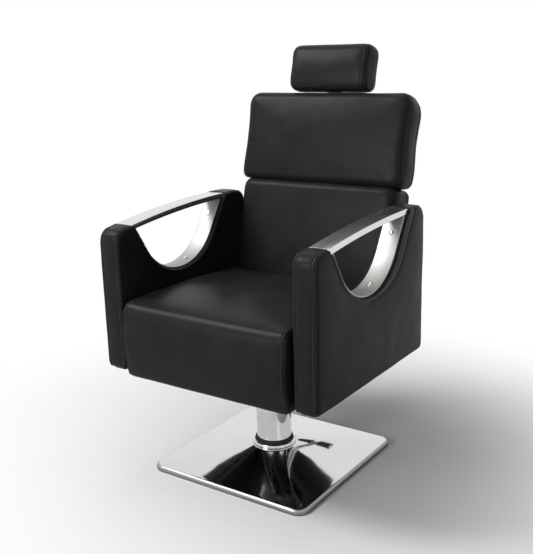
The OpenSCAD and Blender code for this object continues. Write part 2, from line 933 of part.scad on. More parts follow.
// Steel liner of the cut-out, from the bar's underside round and back up to it
function liner_chain(in, face) =
    let (r = cut_r - in)
    concat(
        spot(bar_end(-1, bar_t + seat_gap, -in), -face * slope_way(-1)),
        arc(cut_c, r, 270 - cut_slope, 270 + cut_slope, cut_steps, face),
        spot(bar_end(1, bar_t + seat_gap, -in), -face * slope_way(1)));

module arm_liner() {
    color(chrome)
        difference() {
            translate([bar_x(), 0, 0])
                padded(liner_chain(seat_gap + liner_t, -1), liner_chain(seat_gap, 1),
                    rows(liner_w / 2, liner_edge_r, 1), liner_edge_r);
            liner_screw_places()
                translate([0, 0, -core_inset])
                    cylinder(h = core_inset, r = screw_r + hole_gap);
        }
}

// Screws stand on the inside of the liner, two each side, along Z from the surface
module liner_screw_places() {
    r = cut_r - seat_gap - liner_t;
    turn = cut_slope / cut_steps;
    for (side = [-1, 1]) {
        low = 270 + side * liner_screw_steps * 2 * turn;
        flat = r * cos(turn);
        translate([bar_x(), cut_c[0] + flat * cos(low), cut_c[1] + flat * sin(low)])
            rotate([low - 270, 0, 0])
                children();
        high = cut_c + r * slope_way(side) + liner_screw_up * [side * cos(cut_slope), sin(cut_slope)];
        translate([bar_x(), high[0], high[1]])
            rotate([side * cut_slope, 0, 0])
                children();
    }
}

module liner_screws() {
    color(chrome)
        liner_screw_places() {
            translate([0, 0, over - liner_screw_l])
                cylinder(h = liner_screw_l, r = screw_r);
            translate([0, 0, seat_gap])
                rotate_extrude()
                    intersection() {
                        translate([0, liner_screw_h - liner_screw_r * 2])
                            circle(liner_screw_r * 2);
                        square([liner_screw_r, liner_screw_h]);
                    }
        }
}

module arm_bolts() {
    head_x = frame_half - ply_t;
    color(steel)
        both_sides()
            for (share = arm_bolt_shares) {
                cross_pin(head_x, head_x + arm_bolt_l, share * arm_front, arm_bolt_z, bolt_r);
                cross_pin(head_x - bolt_head_h, head_x, share * arm_front, arm_bolt_z, bolt_head_r);
            }
}

module arm_core_left() { arm_core(); }
module arm_core_right() { mirror([1, 0, 0]) arm_core(); }
module arm_cover_left() { arm_cover(); }
module arm_cover_right() { mirror([1, 0, 0]) arm_cover(); }
module arm_liner_left() { arm_liner(); }
module arm_liner_right() { mirror([1, 0, 0]) arm_liner(); }
module armrest_bar_left() { armrest_bar(); }
module armrest_bar_right() { mirror([1, 0, 0]) armrest_bar(); }
module liner_screws_left() { liner_screws(); }
module liner_screws_right() { mirror([1, 0, 0]) liner_screws(); }

// Recline hinge on the seat
module hinge_brackets() {
    flange_x = seat_ear_x + ear_t - bracket_w;
    color(steel)
        both_sides()
            difference() {
                union() {
                    side_plate(seat_ear_x, seat_ear_x + ear_t) {
                        translate([frame_back, hinge_z - ear_r])
                            square([hinge_y - frame_back, 2 * ear_r]);
                        translate([hinge_y, hinge_z])
                            circle(ear_r);
                    }
                    translate([flange_x, frame_back, bracket_z0])
                        cube([bracket_w, bracket_t, bracket_h]);
                }
                cross_pin(seat_ear_x - over, seat_ear_x + ear_t + over, hinge_y, hinge_z,
                    hinge_pin_r + run_gap / 2);
                bracket_bolt_places(frame_back + bracket_t + over, bracket_t + 2 * over,
                    bolt_r + hole_gap);
            }
}

// Cylinders for the bracket's bolts, from y forwards by the length l
module bracket_bolt_places(y, l, r) {
    for (z = [0.2, 0.8] * bracket_h)
        translate([seat_ear_x - bracket_w / 3, y, bracket_z0 + z])
            rotate([90, 0, 0])
                cylinder(h = l, r = r);
}

module bracket_bolts() {
    color(steel)
        both_sides() {
            bracket_bolt_places(frame_back + bracket_t, bracket_t + ply_t / 2, bolt_r);
            bracket_bolt_places(frame_back + bracket_t + bolt_head_h, bolt_head_h, bolt_head_r);
        }
}

module hinge_pins() {
    x0 = back_ear_x - ear_gap;
    x1 = seat_ear_x + ear_t;
    color(chrome)
        both_sides() {
            cross_pin(x0, x1, hinge_y, hinge_z, hinge_pin_r);
            cross_pin(x1, x1 + pin_head_t, hinge_y, hinge_z, pin_head_r);
            cross_pin(x0 - ear_t / 2, x0, hinge_y, hinge_z, pin_head_r);
        }
}

// Recline strut: a rod that turns on a stud under the seat, and a cylinder that slides on it
module on_strut() {
    translate([0, anchor_y, anchor_z])
        rotate([strut_turn, 0, 0])
            children();
}

module strut_anchor() {
    x0 = bearer_x + bearer_w / 2;
    x1 = strut_x + strut_eye_w / 2;
    color(steel)
        mirror([1, 0, 0]) {
            cross_pin(x0, x0 + stud_flange_t, anchor_y, anchor_z, stud_flange_r);
            cross_pin(x0, x1 + stud_flange_t, anchor_y, anchor_z, stud_r);
            cross_pin(x1 + seat_gap, x1 + stud_flange_t, anchor_y, anchor_z, stud_r * 1.6);
        }
}

module strut_rod() {
    color(chrome)
        on_strut()
            difference() {
                union() {
                    cross_pin(-strut_x - strut_eye_w / 2, strut_eye_w / 2 - strut_x, 0, 0, rod_eye_r);
                    translate([-strut_x, 0, 0])
                        rotate([-90, 0, 0])
                            cylinder(h = strut_reach - strut_neck - strut_l + rod_tuck, r = rod_r);
                }
                cross_pin(-strut_x - strut_eye_w, strut_eye_w - strut_x, 0, 0, stud_r + run_gap);
            }
}

module strut_cylinder() {
    color(black)
        on_strut()
            difference() {
                union() {
                    translate([-strut_x, strut_reach - strut_neck - strut_l, 0])
                        rotate([-90, 0, 0])
                            cylinder(h = strut_l, r = strut_r);
                    translate([-strut_x - strut_eye_w / 4, strut_reach - strut_neck - over, -rod_eye_r])
                        cube([strut_eye_w / 2, strut_neck + over, 2 * rod_eye_r]);
                    cross_pin(-strut_x - strut_eye_w / 2, strut_eye_w / 2 - strut_x, strut_reach, 0,
                        strut_eye_r);
                }
                translate([-strut_x, strut_reach - strut_neck - strut_l - over, 0])
                    rotate([-90, 0, 0])
                        cylinder(h = strut_bore_l + over, r = rod_r + run_gap);
                cross_pin(-strut_x - strut_eye_w, strut_eye_w - strut_x, strut_reach, 0,
                    stud_r + loose_gap);
            }
}

// Release lever under the left-hand arm, as seen from the front
module lever_block_at(x) {
    translate([x - lever_block_w / 2, anchor_y - lever_block_h / 2, arm_bottom_z - lever_block_h])
        cube([lever_block_w, lever_block_h, lever_block_h]);
}

module lever_blocks() {
    color(black)
        mirror([1, 0, 0])
            difference() {
                union() {
                    lever_block_at(bearer_x);
                    lever_block_at(frame_half - ply_t / 2);
                }
                cross_pin(0, frame_half + ply_t, anchor_y, lever_z, lever_r + run_gap);
            }
}

module on_handle() {
    translate([lever_out_x, anchor_y, lever_z])
        rotate([90 + lever_turn, 0, 0])
            children();
}

module recline_lever() {
    color(chrome)
        mirror([1, 0, 0]) {
            cross_pin(bearer_x - lever_block_w, lever_out_x, anchor_y, lever_z, lever_r);
            translate([lever_out_x, anchor_y, lever_z])
                sphere(lever_knuckle_r);
            on_handle()
                cylinder(h = lever_reach, r = lever_r);
            translate([strut_x - finger_t / 2, anchor_y - lever_r, lever_z])
                cube([finger_t, 2 * lever_r, finger_top - lever_z]);
        }
}

module lever_grip() {
    color(black)
        mirror([1, 0, 0])
            on_handle()
                translate([0, 0, lever_reach - grip_l + grip_r])
                    rotate_extrude()
                        difference() {
                            union() {
                                square([grip_r, grip_l - grip_r]);
                                intersection() {
                                    translate([0, grip_l - grip_r])
                                        circle(grip_r);
                                    square([grip_r, grip_l]);
                                }
                            }
                            square([lever_r, grip_l - grip_r]);
                        }
}

// Back
module back_board() {
    color(plywood)
        on_back()
            difference() {
                translate([0, board_front_v, 0])
                    rotate([-90, 0, 0])
                        linear_extrude(height = back_board_t)
                            board_outline();
                back_screw_places(screw_r + hole_gap, back_board_t * 2);
                translate([0, board_front_v + back_board_t + over, knob_u])
                    rotate([90, 0, 0])
                        cylinder(h = back_board_t + 2 * over, r = knob_stem_r + run_gap);
            }
}

// The board's outline, drawn head down because it is then turned upright
module board_outline() {
    translate([-board_half, -board_top_u])
        square([2 * board_half, board_top_u - back_step_u]);
    translate([-board_foot_half, -back_step_u - over])
        square([2 * board_foot_half, back_step_u + over - board_foot_u]);
}

module back_screw_places(r, l) {
    ear = back_ear_x - bracket_w / 2;
    horn = strut_eye_w + cheek_t;
    for (x = [-ear, ear, -strut_x - horn, horn - strut_x], u = [0.45, 0.8] * back_step_u)
        translate([x, board_front_v + l / 2, u])
            rotate([90, 0, 0])
                cylinder(h = l, r = r);
}

module back_screws() {
    color(steel)
        on_back() {
            back_screw_places(screw_r, 2 * back_board_t - screw_head_h);
            translate([0, -cheek_t - screw_head_h / 2, 0])
                back_screw_places(screw_head_r, screw_head_h);
        }
}

module back_brackets() {
    color(steel)
        on_back()
            both_sides()
                difference() {
                    union() {
                        side_plate(back_ear_x, back_ear_x + ear_t) {
                            polygon([[board_front_v - cheek_t, back_step_u - ear_t],
                                [board_front_v + back_board_t - over, back_step_u - ear_t],
                                [board_front_v + back_board_t - over, lower_u - over],
                                [ear_r * 0.9, ear_r * 0.5], [0, 0], [-ear_r * 0.9, -ear_r * 0.5],
                                [board_front_v - cheek_t, board_foot_u]]);
                            circle(ear_r);
                        }
                        translate([back_ear_x - bracket_w + ear_t, board_front_v - cheek_t, board_foot_u])
                            cube([bracket_w - over, cheek_t, back_step_u - ear_t - board_foot_u]);
                    }
                    cross_pin(back_ear_x - over, back_ear_x + ear_t + over, 0, 0,
                        hinge_pin_r + run_gap);
                    back_screw_places(screw_r + hole_gap, 2 * back_board_t);
                }
}

// The horn reaches down behind the hinge and holds the strut's pin between two cheeks
module recline_horn() {
    pin = horn_r * [cos(horn_turn + back_lean), sin(horn_turn + back_lean)];
    cheek_x = strut_eye_w / 2 + cheek_gap;
    v0 = board_front_v - cheek_t;
    color(steel)
        on_back()
            difference() {
                union() {
                    translate([-strut_x, 0, 0])
                        both_sides()
                            side_plate(cheek_x, cheek_x + cheek_t) {
                                polygon([[v0 - cheek_t, 0.8 * back_step_u], [v0, 0.9 * back_step_u],
                                    [board_front_v, 0.9 * back_step_u],
                                    [board_front_v, board_foot_u - over],
                                    [board_front_v / 2, board_foot_u - over],
                                    pin + [strut_eye_r * 0.8, strut_eye_r * 0.6],
                                    pin - [strut_eye_r * 0.8, strut_eye_r * 0.6],
                                    [v0 - cheek_t, board_foot_u / 2]]);
                                translate(pin)
                                    circle(strut_eye_r);
                            }
                    translate([-strut_x - bracket_w / 2 - cheek_t, v0, board_foot_u])
                        cube([bracket_w + 2 * cheek_t, cheek_t, 0.9 * back_step_u - board_foot_u]);
                    cross_pin(-strut_x - cheek_x - cheek_t * 1.5, cheek_x + cheek_t * 1.5 - strut_x,
                        pin[0], pin[1], stud_r);
                }
                back_screw_places(screw_r + hole_gap, 2 * back_board_t);
            }
}

// Lower back cushion: full depth above the seat, and a thin skirt behind the board below it
module back_pad_lower() {
    foot = [-(back_front - lower_thin) + lower_foot_r, back_step_u + lower_foot_r];
    nose = [lower_corner_r - back_front, lower_top - lower_corner_r];
    tail = [back_rear + pad_bow - lower_thin, lower_top - lower_thin];
    skirt_r = lower_thin;
    hem = [back_rear - skirt_r, lower_u + skirt_r];
    front = concat(
        spot([board_front_v + skirt_r / 2, lower_u], [0, -1]),
        spot([board_front_v, lower_u + skirt_r / 2], [-1, 0]),
        spot([board_front_v, back_step_u]),
        spot([foot[0] + lower_thin, back_step_u], [0, -1]),
        arc(foot, lower_foot_r, 270, 180, 4),
        bow(foot + [-lower_foot_r, skirt_r], nose + [-lower_corner_r, -skirt_r], pad_bow, 7),
        arc(nose, lower_corner_r, 180, 90, 5));
    rear = concat(
        arc(hem, skirt_r, 270, 360, 3),
        bow(hem + [skirt_r, skirt_r], tail + [skirt_r, -skirt_r], pad_bow, 7, -1),
        arc(tail, lower_thin, 0, 90, 3));
    color(leather)
        on_back()
            difference() {
                padded(front, rear, rows(lower_half, pad_edge_x, 6), lower_edge, pad_crown, pad_draw);
                board_pocket();
            }
}

module board_pocket() {
    translate([-board_half - seat_gap, board_front_v - seat_gap, 0])
        cube([2 * (board_half + seat_gap), back_board_t + 2 * seat_gap, board_top_u + seat_gap]);
}

// Upper back cushion, which overhangs the arms
module back_pad_upper() {
    foot = [upper_foot_r - back_front, crease_u + upper_foot_r];
    crest = [upper_top_r - back_front, upper_top - upper_top_r];
    tail = [back_rear - upper_tail_r, crease_u + upper_tail_r];
    nape = [back_rear - upper_crest_r, upper_top - upper_crest_r];
    step = lower_thin;
    front = concat(
        arc(foot, upper_foot_r, 270, 180, 4),
        bow(foot + [-upper_foot_r, step], crest + [-upper_top_r, -step], pad_bow, 6),
        arc(crest, upper_top_r, 180, 90, 5));
    rear = concat(
        arc(tail, upper_tail_r, 275, 360, 4),
        bow(tail + [upper_tail_r, step], nape + [upper_crest_r, -step], pad_bow, 5, -1),
        arc(nape, upper_crest_r, 0, 85, 4));
    color(leather)
        on_back()
            difference() {
                padded(front, rear, rows(upper_half, pad_edge_x, 6), upper_edge, pad_crown, pad_draw);
                board_pocket();
                translate([-post_w / 2 - sleeve_t - over, post_v - post_t - sleeve_t - over,
                    post_foot_u - over])
                    cube([post_w + 2 * (sleeve_t + over),
                        board_front_v + over + post_t + sleeve_t - post_v + over, upper_h]);
                translate([0, board_front_v, knob_u])
                    rotate([-90, 0, 0])
                        cylinder(h = back_front, r = knob_neck_r + over);
            }
}

// Headrest
module headrest_sleeve() {
    gap = run_gap;
    color(steel)
        on_back()
            difference() {
                translate([-post_w / 2 - sleeve_t, post_v - post_t / 2 - sleeve_t, sleeve_u])
                    cube([post_w + 2 * sleeve_t, board_front_v - post_v + post_t / 2 + sleeve_t,
                        sleeve_h]);
                translate([-post_w / 2 - gap, post_v - post_t / 2 - gap, sleeve_u - over])
                    cube([post_w + 2 * gap, post_t + 2 * gap, sleeve_h + 2 * over]);
                translate([0, board_front_v + over, knob_u])
                    rotate([90, 0, 0])
                        cylinder(h = board_front_v - post_v, r = knob_stem_r + run_gap);
            }
}

// Clamp knob behind the back, with a stem through the board to the post
module headrest_knob() {
    v0 = back_rear + pad_bow + pad_crown + knob_gap;
    color(black)
        on_back()
            translate([0, v0, knob_u])
                rotate([-90, 0, 0]) {
                    difference() {
                        cylinder(h = knob_h, r = knob_r);
                        for (a = [0:60:300])
                            rotate([0, 0, a])
                                translate([knob_r * 1.25, 0, -over])
                                    cylinder(h = knob_h + 2 * over, r = knob_r * 0.42);
                    }
                    translate([0, 0, board_front_v + back_board_t - v0 + seat_gap])
                        cylinder(h = v0 - board_front_v - back_board_t, r = knob_neck_r);
                    translate([0, 0, post_v + post_t / 2 + seat_gap - v0])
                        cylinder(h = v0 - post_v - post_t / 2, r = knob_stem_r);
                }
}

module headrest_post() {
    plate_u = pillow_u + (pillow_h - pillow_plate_h) / 2;
    color(chrome)
        on_back() {
            translate([-post_w / 2, post_v - post_t / 2, post_foot_u])
                cube([post_w, post_t, plate_u + pillow_plate_h / 2 - post_foot_u]);
            translate([-pillow_plate_w / 2, post_v - post_t / 2, plate_u])
                cube([pillow_plate_w, post_t, pillow_plate_h]);
        }
}

module headrest_pad() {
    foot = [pillow_front_v + pillow_r, pillow_u + pillow_r];
    tail = [pillow_front_v + pillow_t - pillow_r, pillow_u + pillow_r];
    rise = [0, pillow_h - 2 * pillow_r];
    lip = pillow_r / 4;
    front = concat(
        arc(foot, pillow_r, 270, 180, 5),
        bow(foot + [-pillow_r, lip], foot + rise + [-pillow_r, -lip], pad_bow, 4),
        arc(foot + rise, pillow_r, 180, 90, 5));
    rear = concat(
        arc(tail, pillow_r, 270, 360, 5),
        bow(tail + [pillow_r, lip], tail + rise + [pillow_r, -lip], pad_bow, 4, -1),
        arc(tail + rise, pillow_r, 0, 90, 5));
    color(leather)
        on_back()
            difference() {
                padded(front, rear, rows(pillow_w / 2, pillow_edge_x, 6), pillow_edge, pillow_crown,
                    pad_draw / 2);
                post_pocket();
            }
}

module post_pocket() {
    plate_u = pillow_u + (pillow_h - pillow_plate_h) / 2;
    v = post_v - post_t / 2 - seat_gap;
    t = post_t + 2 * seat_gap;
    translate([-post_w / 2 - seat_gap, v, pillow_u - over])
        cube([post_w + 2 * seat_gap, t, pillow_h / 2]);
    translate([-pillow_plate_w / 2 - seat_gap, v, plate_u - seat_gap])
        cube([pillow_plate_w + 2 * seat_gap, t, pillow_plate_h + 2 * seat_gap]);
}

base_strip();
base_ballast();
base_cover();
trim_ring();
stop_ring();
ram();
ram_bolts();
pump_cylinder();
guide_bush();
pump_shroud();
pump_head();
thrust_bearing();
spindle_nut();
pedal_pin();
pump_pedal();
pedal_pad();
mount_plate();
mount_bolts();
seat_bearers();
seat_frame();
seat_board();
seat_cushion();
arm_core_left();
arm_core_right();
arm_cover_left();
arm_cover_right();
arm_liner_left();
arm_liner_right();
armrest_bar_left();
armrest_bar_right();
liner_screws_left();
liner_screws_right();
arm_bolts();
hinge_brackets();
bracket_bolts();
hinge_pins();
strut_anchor();
lever_blocks();
recline_lever();
lever_grip();
strut_rod();
strut_cylinder();
back_brackets();
back_screws();
recline_horn();
back_board();
back_pad_lower();
back_pad_upper();
headrest_sleeve();
headrest_knob();
headrest_post();
headrest_pad();
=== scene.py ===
"""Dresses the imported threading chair: leather pads with sewn seams, polished steel and a plain stage."""

import json
import math

import bmesh
import bpy
import numpy as np
from bpy.props import FloatProperty, FloatVectorProperty, IntProperty, PointerProperty
from mathutils import Matrix, Vector, noise


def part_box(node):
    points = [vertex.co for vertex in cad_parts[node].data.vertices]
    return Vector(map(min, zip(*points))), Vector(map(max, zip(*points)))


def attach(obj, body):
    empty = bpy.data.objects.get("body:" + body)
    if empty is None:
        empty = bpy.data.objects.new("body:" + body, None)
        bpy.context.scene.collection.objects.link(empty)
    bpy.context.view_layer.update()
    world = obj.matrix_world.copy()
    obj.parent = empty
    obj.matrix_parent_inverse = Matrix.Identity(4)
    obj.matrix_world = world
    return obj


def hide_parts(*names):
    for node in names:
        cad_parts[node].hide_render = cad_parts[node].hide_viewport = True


bl_info = {
    "name": "Threading chair",
    "version": (1, 0, 0),
    "blender": (4, 5, 0),
    "location": "View3D > Sidebar > Chair",
    "description": "Dresses the frame of a threading chair",
    "category": "Add Mesh",
}

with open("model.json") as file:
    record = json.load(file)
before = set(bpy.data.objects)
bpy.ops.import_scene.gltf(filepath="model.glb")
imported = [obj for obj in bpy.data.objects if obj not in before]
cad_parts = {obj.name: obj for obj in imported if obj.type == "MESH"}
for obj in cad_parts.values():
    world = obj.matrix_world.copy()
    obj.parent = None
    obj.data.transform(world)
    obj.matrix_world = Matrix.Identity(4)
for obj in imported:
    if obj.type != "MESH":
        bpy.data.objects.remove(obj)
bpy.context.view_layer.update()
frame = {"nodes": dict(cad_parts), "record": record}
MM = 0.001

# The photograph's frame, and the camera that was fitted to it, in metres and degrees
PHOTO_HEIGHT_PX = 554
FOCAL_PX = 840.2
SENSOR_MM = 36
CAMERA_AZIMUTH = 34.85
CAMERA_ELEVATION = 14.81
CAMERA_ROLL = -1.51
CAMERA_DISTANCE = 2.3754
CAMERA_TARGET = Vector((-0.0720, 0.0848, 0.4973))

# The reclining back's own axes: v runs rearward through it, and u runs up along it
BACK_LEAN = math.radians(14)
HINGE = Vector((0, 0.228, 0.345))
BACK_V = Vector((0, math.cos(BACK_LEAN), -math.sin(BACK_LEAN)))
BACK_U = Vector((0, math.sin(BACK_LEAN), math.cos(BACK_LEAN)))
BACK_AXES = ((1, 0, 0), tuple(BACK_V), tuple(BACK_U))

# The cut-out in each arm, in the plane of Y and Z
CUT_CENTRE = (-0.048, 0.696)
CUT_R = 0.164
CUT_SLOPE = math.radians(59)
ARM_INNER_X = 0.260
ARM_OUTER_X = 0.330

# The arched armrest bar
ARCH_R = 2.830
ARCH_Y = 0.147
BAR_TOP_Z = 0.7125
BAR_T = 0.015

# Top of the base cover's flat rim
BASE_RIM_Z = 0.016

# How the panel shows a length and a colour
LENGTH = {"unit": "LENGTH", "precision": 4}
COLOUR = {"subtype": "COLOR", "min": 0, "max": 1}


class ChairSizes(bpy.types.PropertyGroup):
    """Sizes of the upholstery and of the steel trim"""

    voxel: FloatProperty(
        name="Mesh size", description="Size of the faces of the padded pieces",
        default=0.0055, **LENGTH)
    swell: FloatProperty(
        name="Swell", description="How far the filling may push the leather out",
        default=0.0050, **LENGTH)
    pull: FloatProperty(
        name="Pull", description="How much smaller a pad is before it is filled",
        default=0.0010, **LENGTH)
    ripple: FloatProperty(
        name="Ripple", description="Height of the slow waves in the leather",
        default=0.0009, **LENGTH)
    seam_depth: FloatProperty(
        name="Seam depth", description="Depth of the groove that holds a row of stitches",
        default=0.0017, **LENGTH)
    seam_width: FloatProperty(
        name="Seam width", description="Distance between the two rows of stitches",
        default=0.0070, **LENGTH)
    stitch_pitch: FloatProperty(
        name="Stitch pitch", description="Distance from stitch to stitch",
        default=0.0055, **LENGTH)
    stitch_length: FloatProperty(
        name="Stitch length", description="Length of the thread that shows in each stitch",
        default=0.0042, **LENGTH)
    thread_width: FloatProperty(
        name="Thread width", description="Width of the sewing thread",
        default=0.0011, **LENGTH)
    screw_r: FloatProperty(
        name="Screw head", description="Radius of the screws in the steel liners",
        default=0.0063, **LENGTH)
    cloth_frames: IntProperty(
        name="Cloth frames", description="Length of the simulation that fills a pad",
        default=14, min=5, max=60)


class ChairColours(bpy.types.PropertyGroup):
    """Colours of the finishes"""

    leather: FloatVectorProperty(
        name="Leather", description="Black leather of the pads",
        default=(0.0165, 0.0162, 0.0172), **COLOUR)
    lining: FloatVectorProperty(
        name="Lining", description="Black cloth that covers the plywood of the frame and the boards",
        default=(0.010, 0.010, 0.011), **COLOUR)
    thread: FloatVectorProperty(
        name="Thread", description="Sewing thread",
        default=(0.026, 0.026, 0.027), **COLOUR)
    steel: FloatVectorProperty(
        name="Polished steel", description="Armrest bars",
        default=(0.70, 0.695, 0.68), **COLOUR)
    brushed: FloatVectorProperty(
        name="Brushed steel", description="Liners of the arms' cut-outs",
        default=(0.36, 0.357, 0.347), **COLOUR)
    chrome: FloatVectorProperty(
        name="Chrome", description="Base and column",
        default=(0.67, 0.67, 0.68), **COLOUR)
    zinc: FloatVectorProperty(
        name="Zinc", description="Zinc plated steel of the mechanism",
        default=(0.44, 0.44, 0.43), **COLOUR)
    dark_steel: FloatVectorProperty(
        name="Black steel", description="Painted steel of the mechanism",
        default=(0.03, 0.03, 0.032), **COLOUR)
    rubber: FloatVectorProperty(
        name="Rubber", description="Rubber strip, bumper, pedal pad and plastic grips",
        default=(0.012, 0.012, 0.012), **COLOUR)
    bronze: FloatVectorProperty(
        name="Bronze", description="Guide bush of the pump",
        default=(0.42, 0.27, 0.12), **COLOUR)
    floor: FloatVectorProperty(
        name="Floor", description="Pale floor of the studio",
        default=(0.80, 0.80, 0.80), **COLOUR)


# Selecting and finishing

def deselect():
    if bpy.context.object and bpy.context.object.mode != "OBJECT":
        bpy.ops.object.mode_set(mode="OBJECT")
    bpy.ops.object.select_all(action="DESELECT")


def make_active(piece):
    deselect()
    piece.select_set(True)
    bpy.context.view_layer.objects.active = piece


def edit(piece, select="SELECT"):
    make_active(piece)
    bpy.ops.object.mode_set(mode="EDIT")
    bpy.ops.mesh.select_all(action=select)


def end_edit():
    bpy.ops.object.mode_set(mode="OBJECT")


def new_piece(name):
    """Names the primitive that was just added, and puts its place into its mesh."""
    piece = bpy.context.object
    piece.name = name
    piece.data.name = name
    bpy.ops.object.transform_apply(location=True, rotation=True, scale=True)
    return piece


def apply_modifiers(piece):
    make_active(piece)
    for modifier in list(piece.modifiers):
        bpy.ops.object.modifier_apply(modifier=modifier.name)


def smooth_by_angle(piece, degrees=35):
    make_active(piece)
    bpy.ops.object.shade_smooth_by_angle(angle=math.radians(degrees))


def faces_out(piece):
    """Merges doubled points and turns every face outwards."""
    edit(piece)
    bpy.ops.mesh.remove_doubles(threshold=0.02 * MM)
    bpy.ops.mesh.normals_make_consistent(inside=False)
    end_edit()


def rounded(piece, width, angle=40):
    bevel = piece.modifiers.new("rounded", "BEVEL")
    bevel.width = width
    bevel.segments = 3
    bevel.limit_method = "ANGLE"
    bevel.angle_limit = math.radians(angle)
    bevel.use_clamp_overlap = True
    apply_modifiers(piece)


def relaxed(piece, steps, group=""):
    """Smooths a piece, after the modifiers that it already has. A group holds how much each point moves."""
    relax = piece.modifiers.new("relax", "SMOOTH")
    relax.factor = 0.5
    relax.iterations = steps
    relax.vertex_group = group
    apply_modifiers(piece)


def thickened(piece, thickness, offset, even=False):
    """Gives a sheet its wall: on its back at -1, on both sides at 0 and on its front at 1."""
    wall = piece.modifiers.new("wall", "SOLIDIFY")
    wall.thickness = thickness
    wall.offset = offset
    wall.use_even_offset = even
    apply_modifiers(piece)


def add_plane(name, **place):
    deselect()
    bpy.ops.mesh.primitive_plane_add(**place)
    return new_piece(name)


def mirrored(piece, name):
    """A copy on the other side of the chair, with its own mesh."""
    other = piece.copy()
    other.data = piece.data.copy()
    other.name = name
    other.data.name = name
    bpy.context.scene.collection.objects.link(other)
    other.data.transform(Matrix.Scale(-1, 4, (1, 0, 0)))
    other.data.flip_normals()
    return other


def dress(piece, material, slot, body, *nodes):
    """Gives a piece its material, its body and the nodes that it stands for, which it hides. The slot is not
    used.
    """
    piece.data.materials.clear()
    piece.data.materials.append(material)
    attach(piece, body)
    if nodes:
        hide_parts(*nodes)


# Points of a mesh as arrays

def points_of(mesh, kind="co"):
    values = np.empty(len(mesh.vertices) * 3, np.float64)
    mesh.vertices.foreach_get(kind, values)
    return values.reshape(-1, 3)


def normals_of(mesh):
    return points_of(mesh, "normal")


def set_points(mesh, points):
    mesh.vertices.foreach_set("co", points.astype(np.float32).ravel())
    mesh.update()


def smoothstep(value, low, high):
    share = np.clip((value - low) / (high - low), 0, 1)
    return share * share * (3 - 2 * share)


# Materials

def new_group(name, scales, outputs):
    """An empty shader node group that takes a vector and scales, and puts out values."""
    group = bpy.data.node_groups.new(name, "ShaderNodeTree")
    group.interface.new_socket(name="Vector", in_out="INPUT", socket_type="NodeSocketVector")
    for scale_name, scale in scales:
        socket = group.interface.new_socket(name=scale_name, in_out="INPUT", socket_type="NodeSocketFloat")
        socket.default_value = scale
    for output in outputs:
        group.interface.new_socket(name=output, in_out="OUTPUT", socket_type="NodeSocketFloat")
    return group, group.nodes.new("NodeGroupInput"), group.nodes.new("NodeGroupOutput")


def feed(tree, socket, value):
    """Links an output to a socket, or sets a constant on it."""
    if isinstance(value, bpy.types.NodeSocket):
        tree.links.new(value, socket)
    else:
        socket.default_value = value


def add_node(tree, kind, settings=None, **inputs):
    """Adds a node, sets its own settings and links or sets its inputs."""
    node = tree.nodes.new(kind)
    for key, value in (settings or {}).items():
        setattr(node, key, value)
    for key, value in inputs.items():
        feed(tree, node.inputs[key.replace("_", " ")], value)
    return node


def math_node(tree, operation, first, second):
    node = add_node(tree, "ShaderNodeMath", {"operation": operation})
    feed(tree, node.inputs[0], first)
    feed(tree, node.inputs[1], second)
    return node.outputs[0]


def between(tree, value, low, high):
    """Maps a value from 0 to 1 onto the range from low to high."""
    return add_node(tree, "ShaderNodeMapRange", Value=value, To_Min=low, To_Max=high).outputs["Result"]


def mixed_colour(tree, share, first, second):
    node = add_node(tree, "ShaderNodeMix", {"data_type": "RGBA"})
    for index, value in ((0, share), (6, first), (7, second)):
        feed(tree, node.inputs[index], value)
    return node.outputs[2]


def noise_in(group, vector, scale, detail, roughness=0.5):
    node = add_node(group, "ShaderNodeTexNoise",
                    Vector=vector, Scale=scale, Detail=detail, Roughness=roughness)
    return node.outputs["Fac"]


def grain_group():
    """Pebbled grain of leather: its height, its tone from 0 to 1 and its gloss from 0 to 1."""
    group, start, end = new_group(
        "leather grain", [("Pebble Scale", 620.0), ("Wear Scale", 14.0)], ["Height", "Tone", "Gloss"])
    vector = start.outputs["Vector"]
    warp = add_node(group, "ShaderNodeTexNoise", Vector=vector, Scale=240.0, Detail=2.0)
    offset = add_node(group, "ShaderNodeVectorMath", {"operation": "SCALE"},
                      Vector=warp.outputs["Color"], Scale=0.0012)
    moved = add_node(group, "ShaderNodeVectorMath", {"operation": "ADD"}, Vector=vector)
    group.links.new(offset.outputs[0], moved.inputs[1])
    pebble = add_node(group, "ShaderNodeTexVoronoi", {"feature": "SMOOTH_F1"},
                      Vector=moved.outputs[0], Scale=start.outputs["Pebble Scale"], Smoothness=0.6)
    pebbles = math_node(group, "SUBTRACT", 1.0, pebble.outputs["Distance"])
    pores = math_node(group, "MULTIPLY", noise_in(group, vector, 1500.0, 3.0), 0.30)
    mottle = math_node(group, "MULTIPLY", noise_in(group, vector, 130.0, 2.0), 1.1)
    wear = noise_in(group, vector, start.outputs["Wear Scale"], 4.0, 0.55)
    relief = math_node(group, "ADD", math_node(group, "ADD", pebbles, pores), mottle)
    group.links.new(relief, end.inputs["Height"])
    group.links.new(math_node(group, "MULTIPLY", wear, pebbles), end.inputs["Tone"])
    group.links.new(wear, end.inputs["Gloss"])


def marks_group(name, fine, fine_scale, fine_detail, broad, broad_scale):
    """A fine noise for the relief of a surface, and a broad one for its tone and its gloss."""
    scales = [(fine + " Scale", fine_scale), (broad + " Scale", broad_scale)]
    group, start, end = new_group(name, scales, [fine, broad])
    for mark, detail, roughness in ((fine, fine_detail, 0.5), (broad, 5.0, 0.6)):
        scale = start.outputs[mark + " Scale"]
        group.links.new(noise_in(group, start.outputs["Vector"], scale, detail, roughness), end.inputs[mark])


class Finishes:
    """The materials by finish, built once and shared by the pieces"""

    made = {}


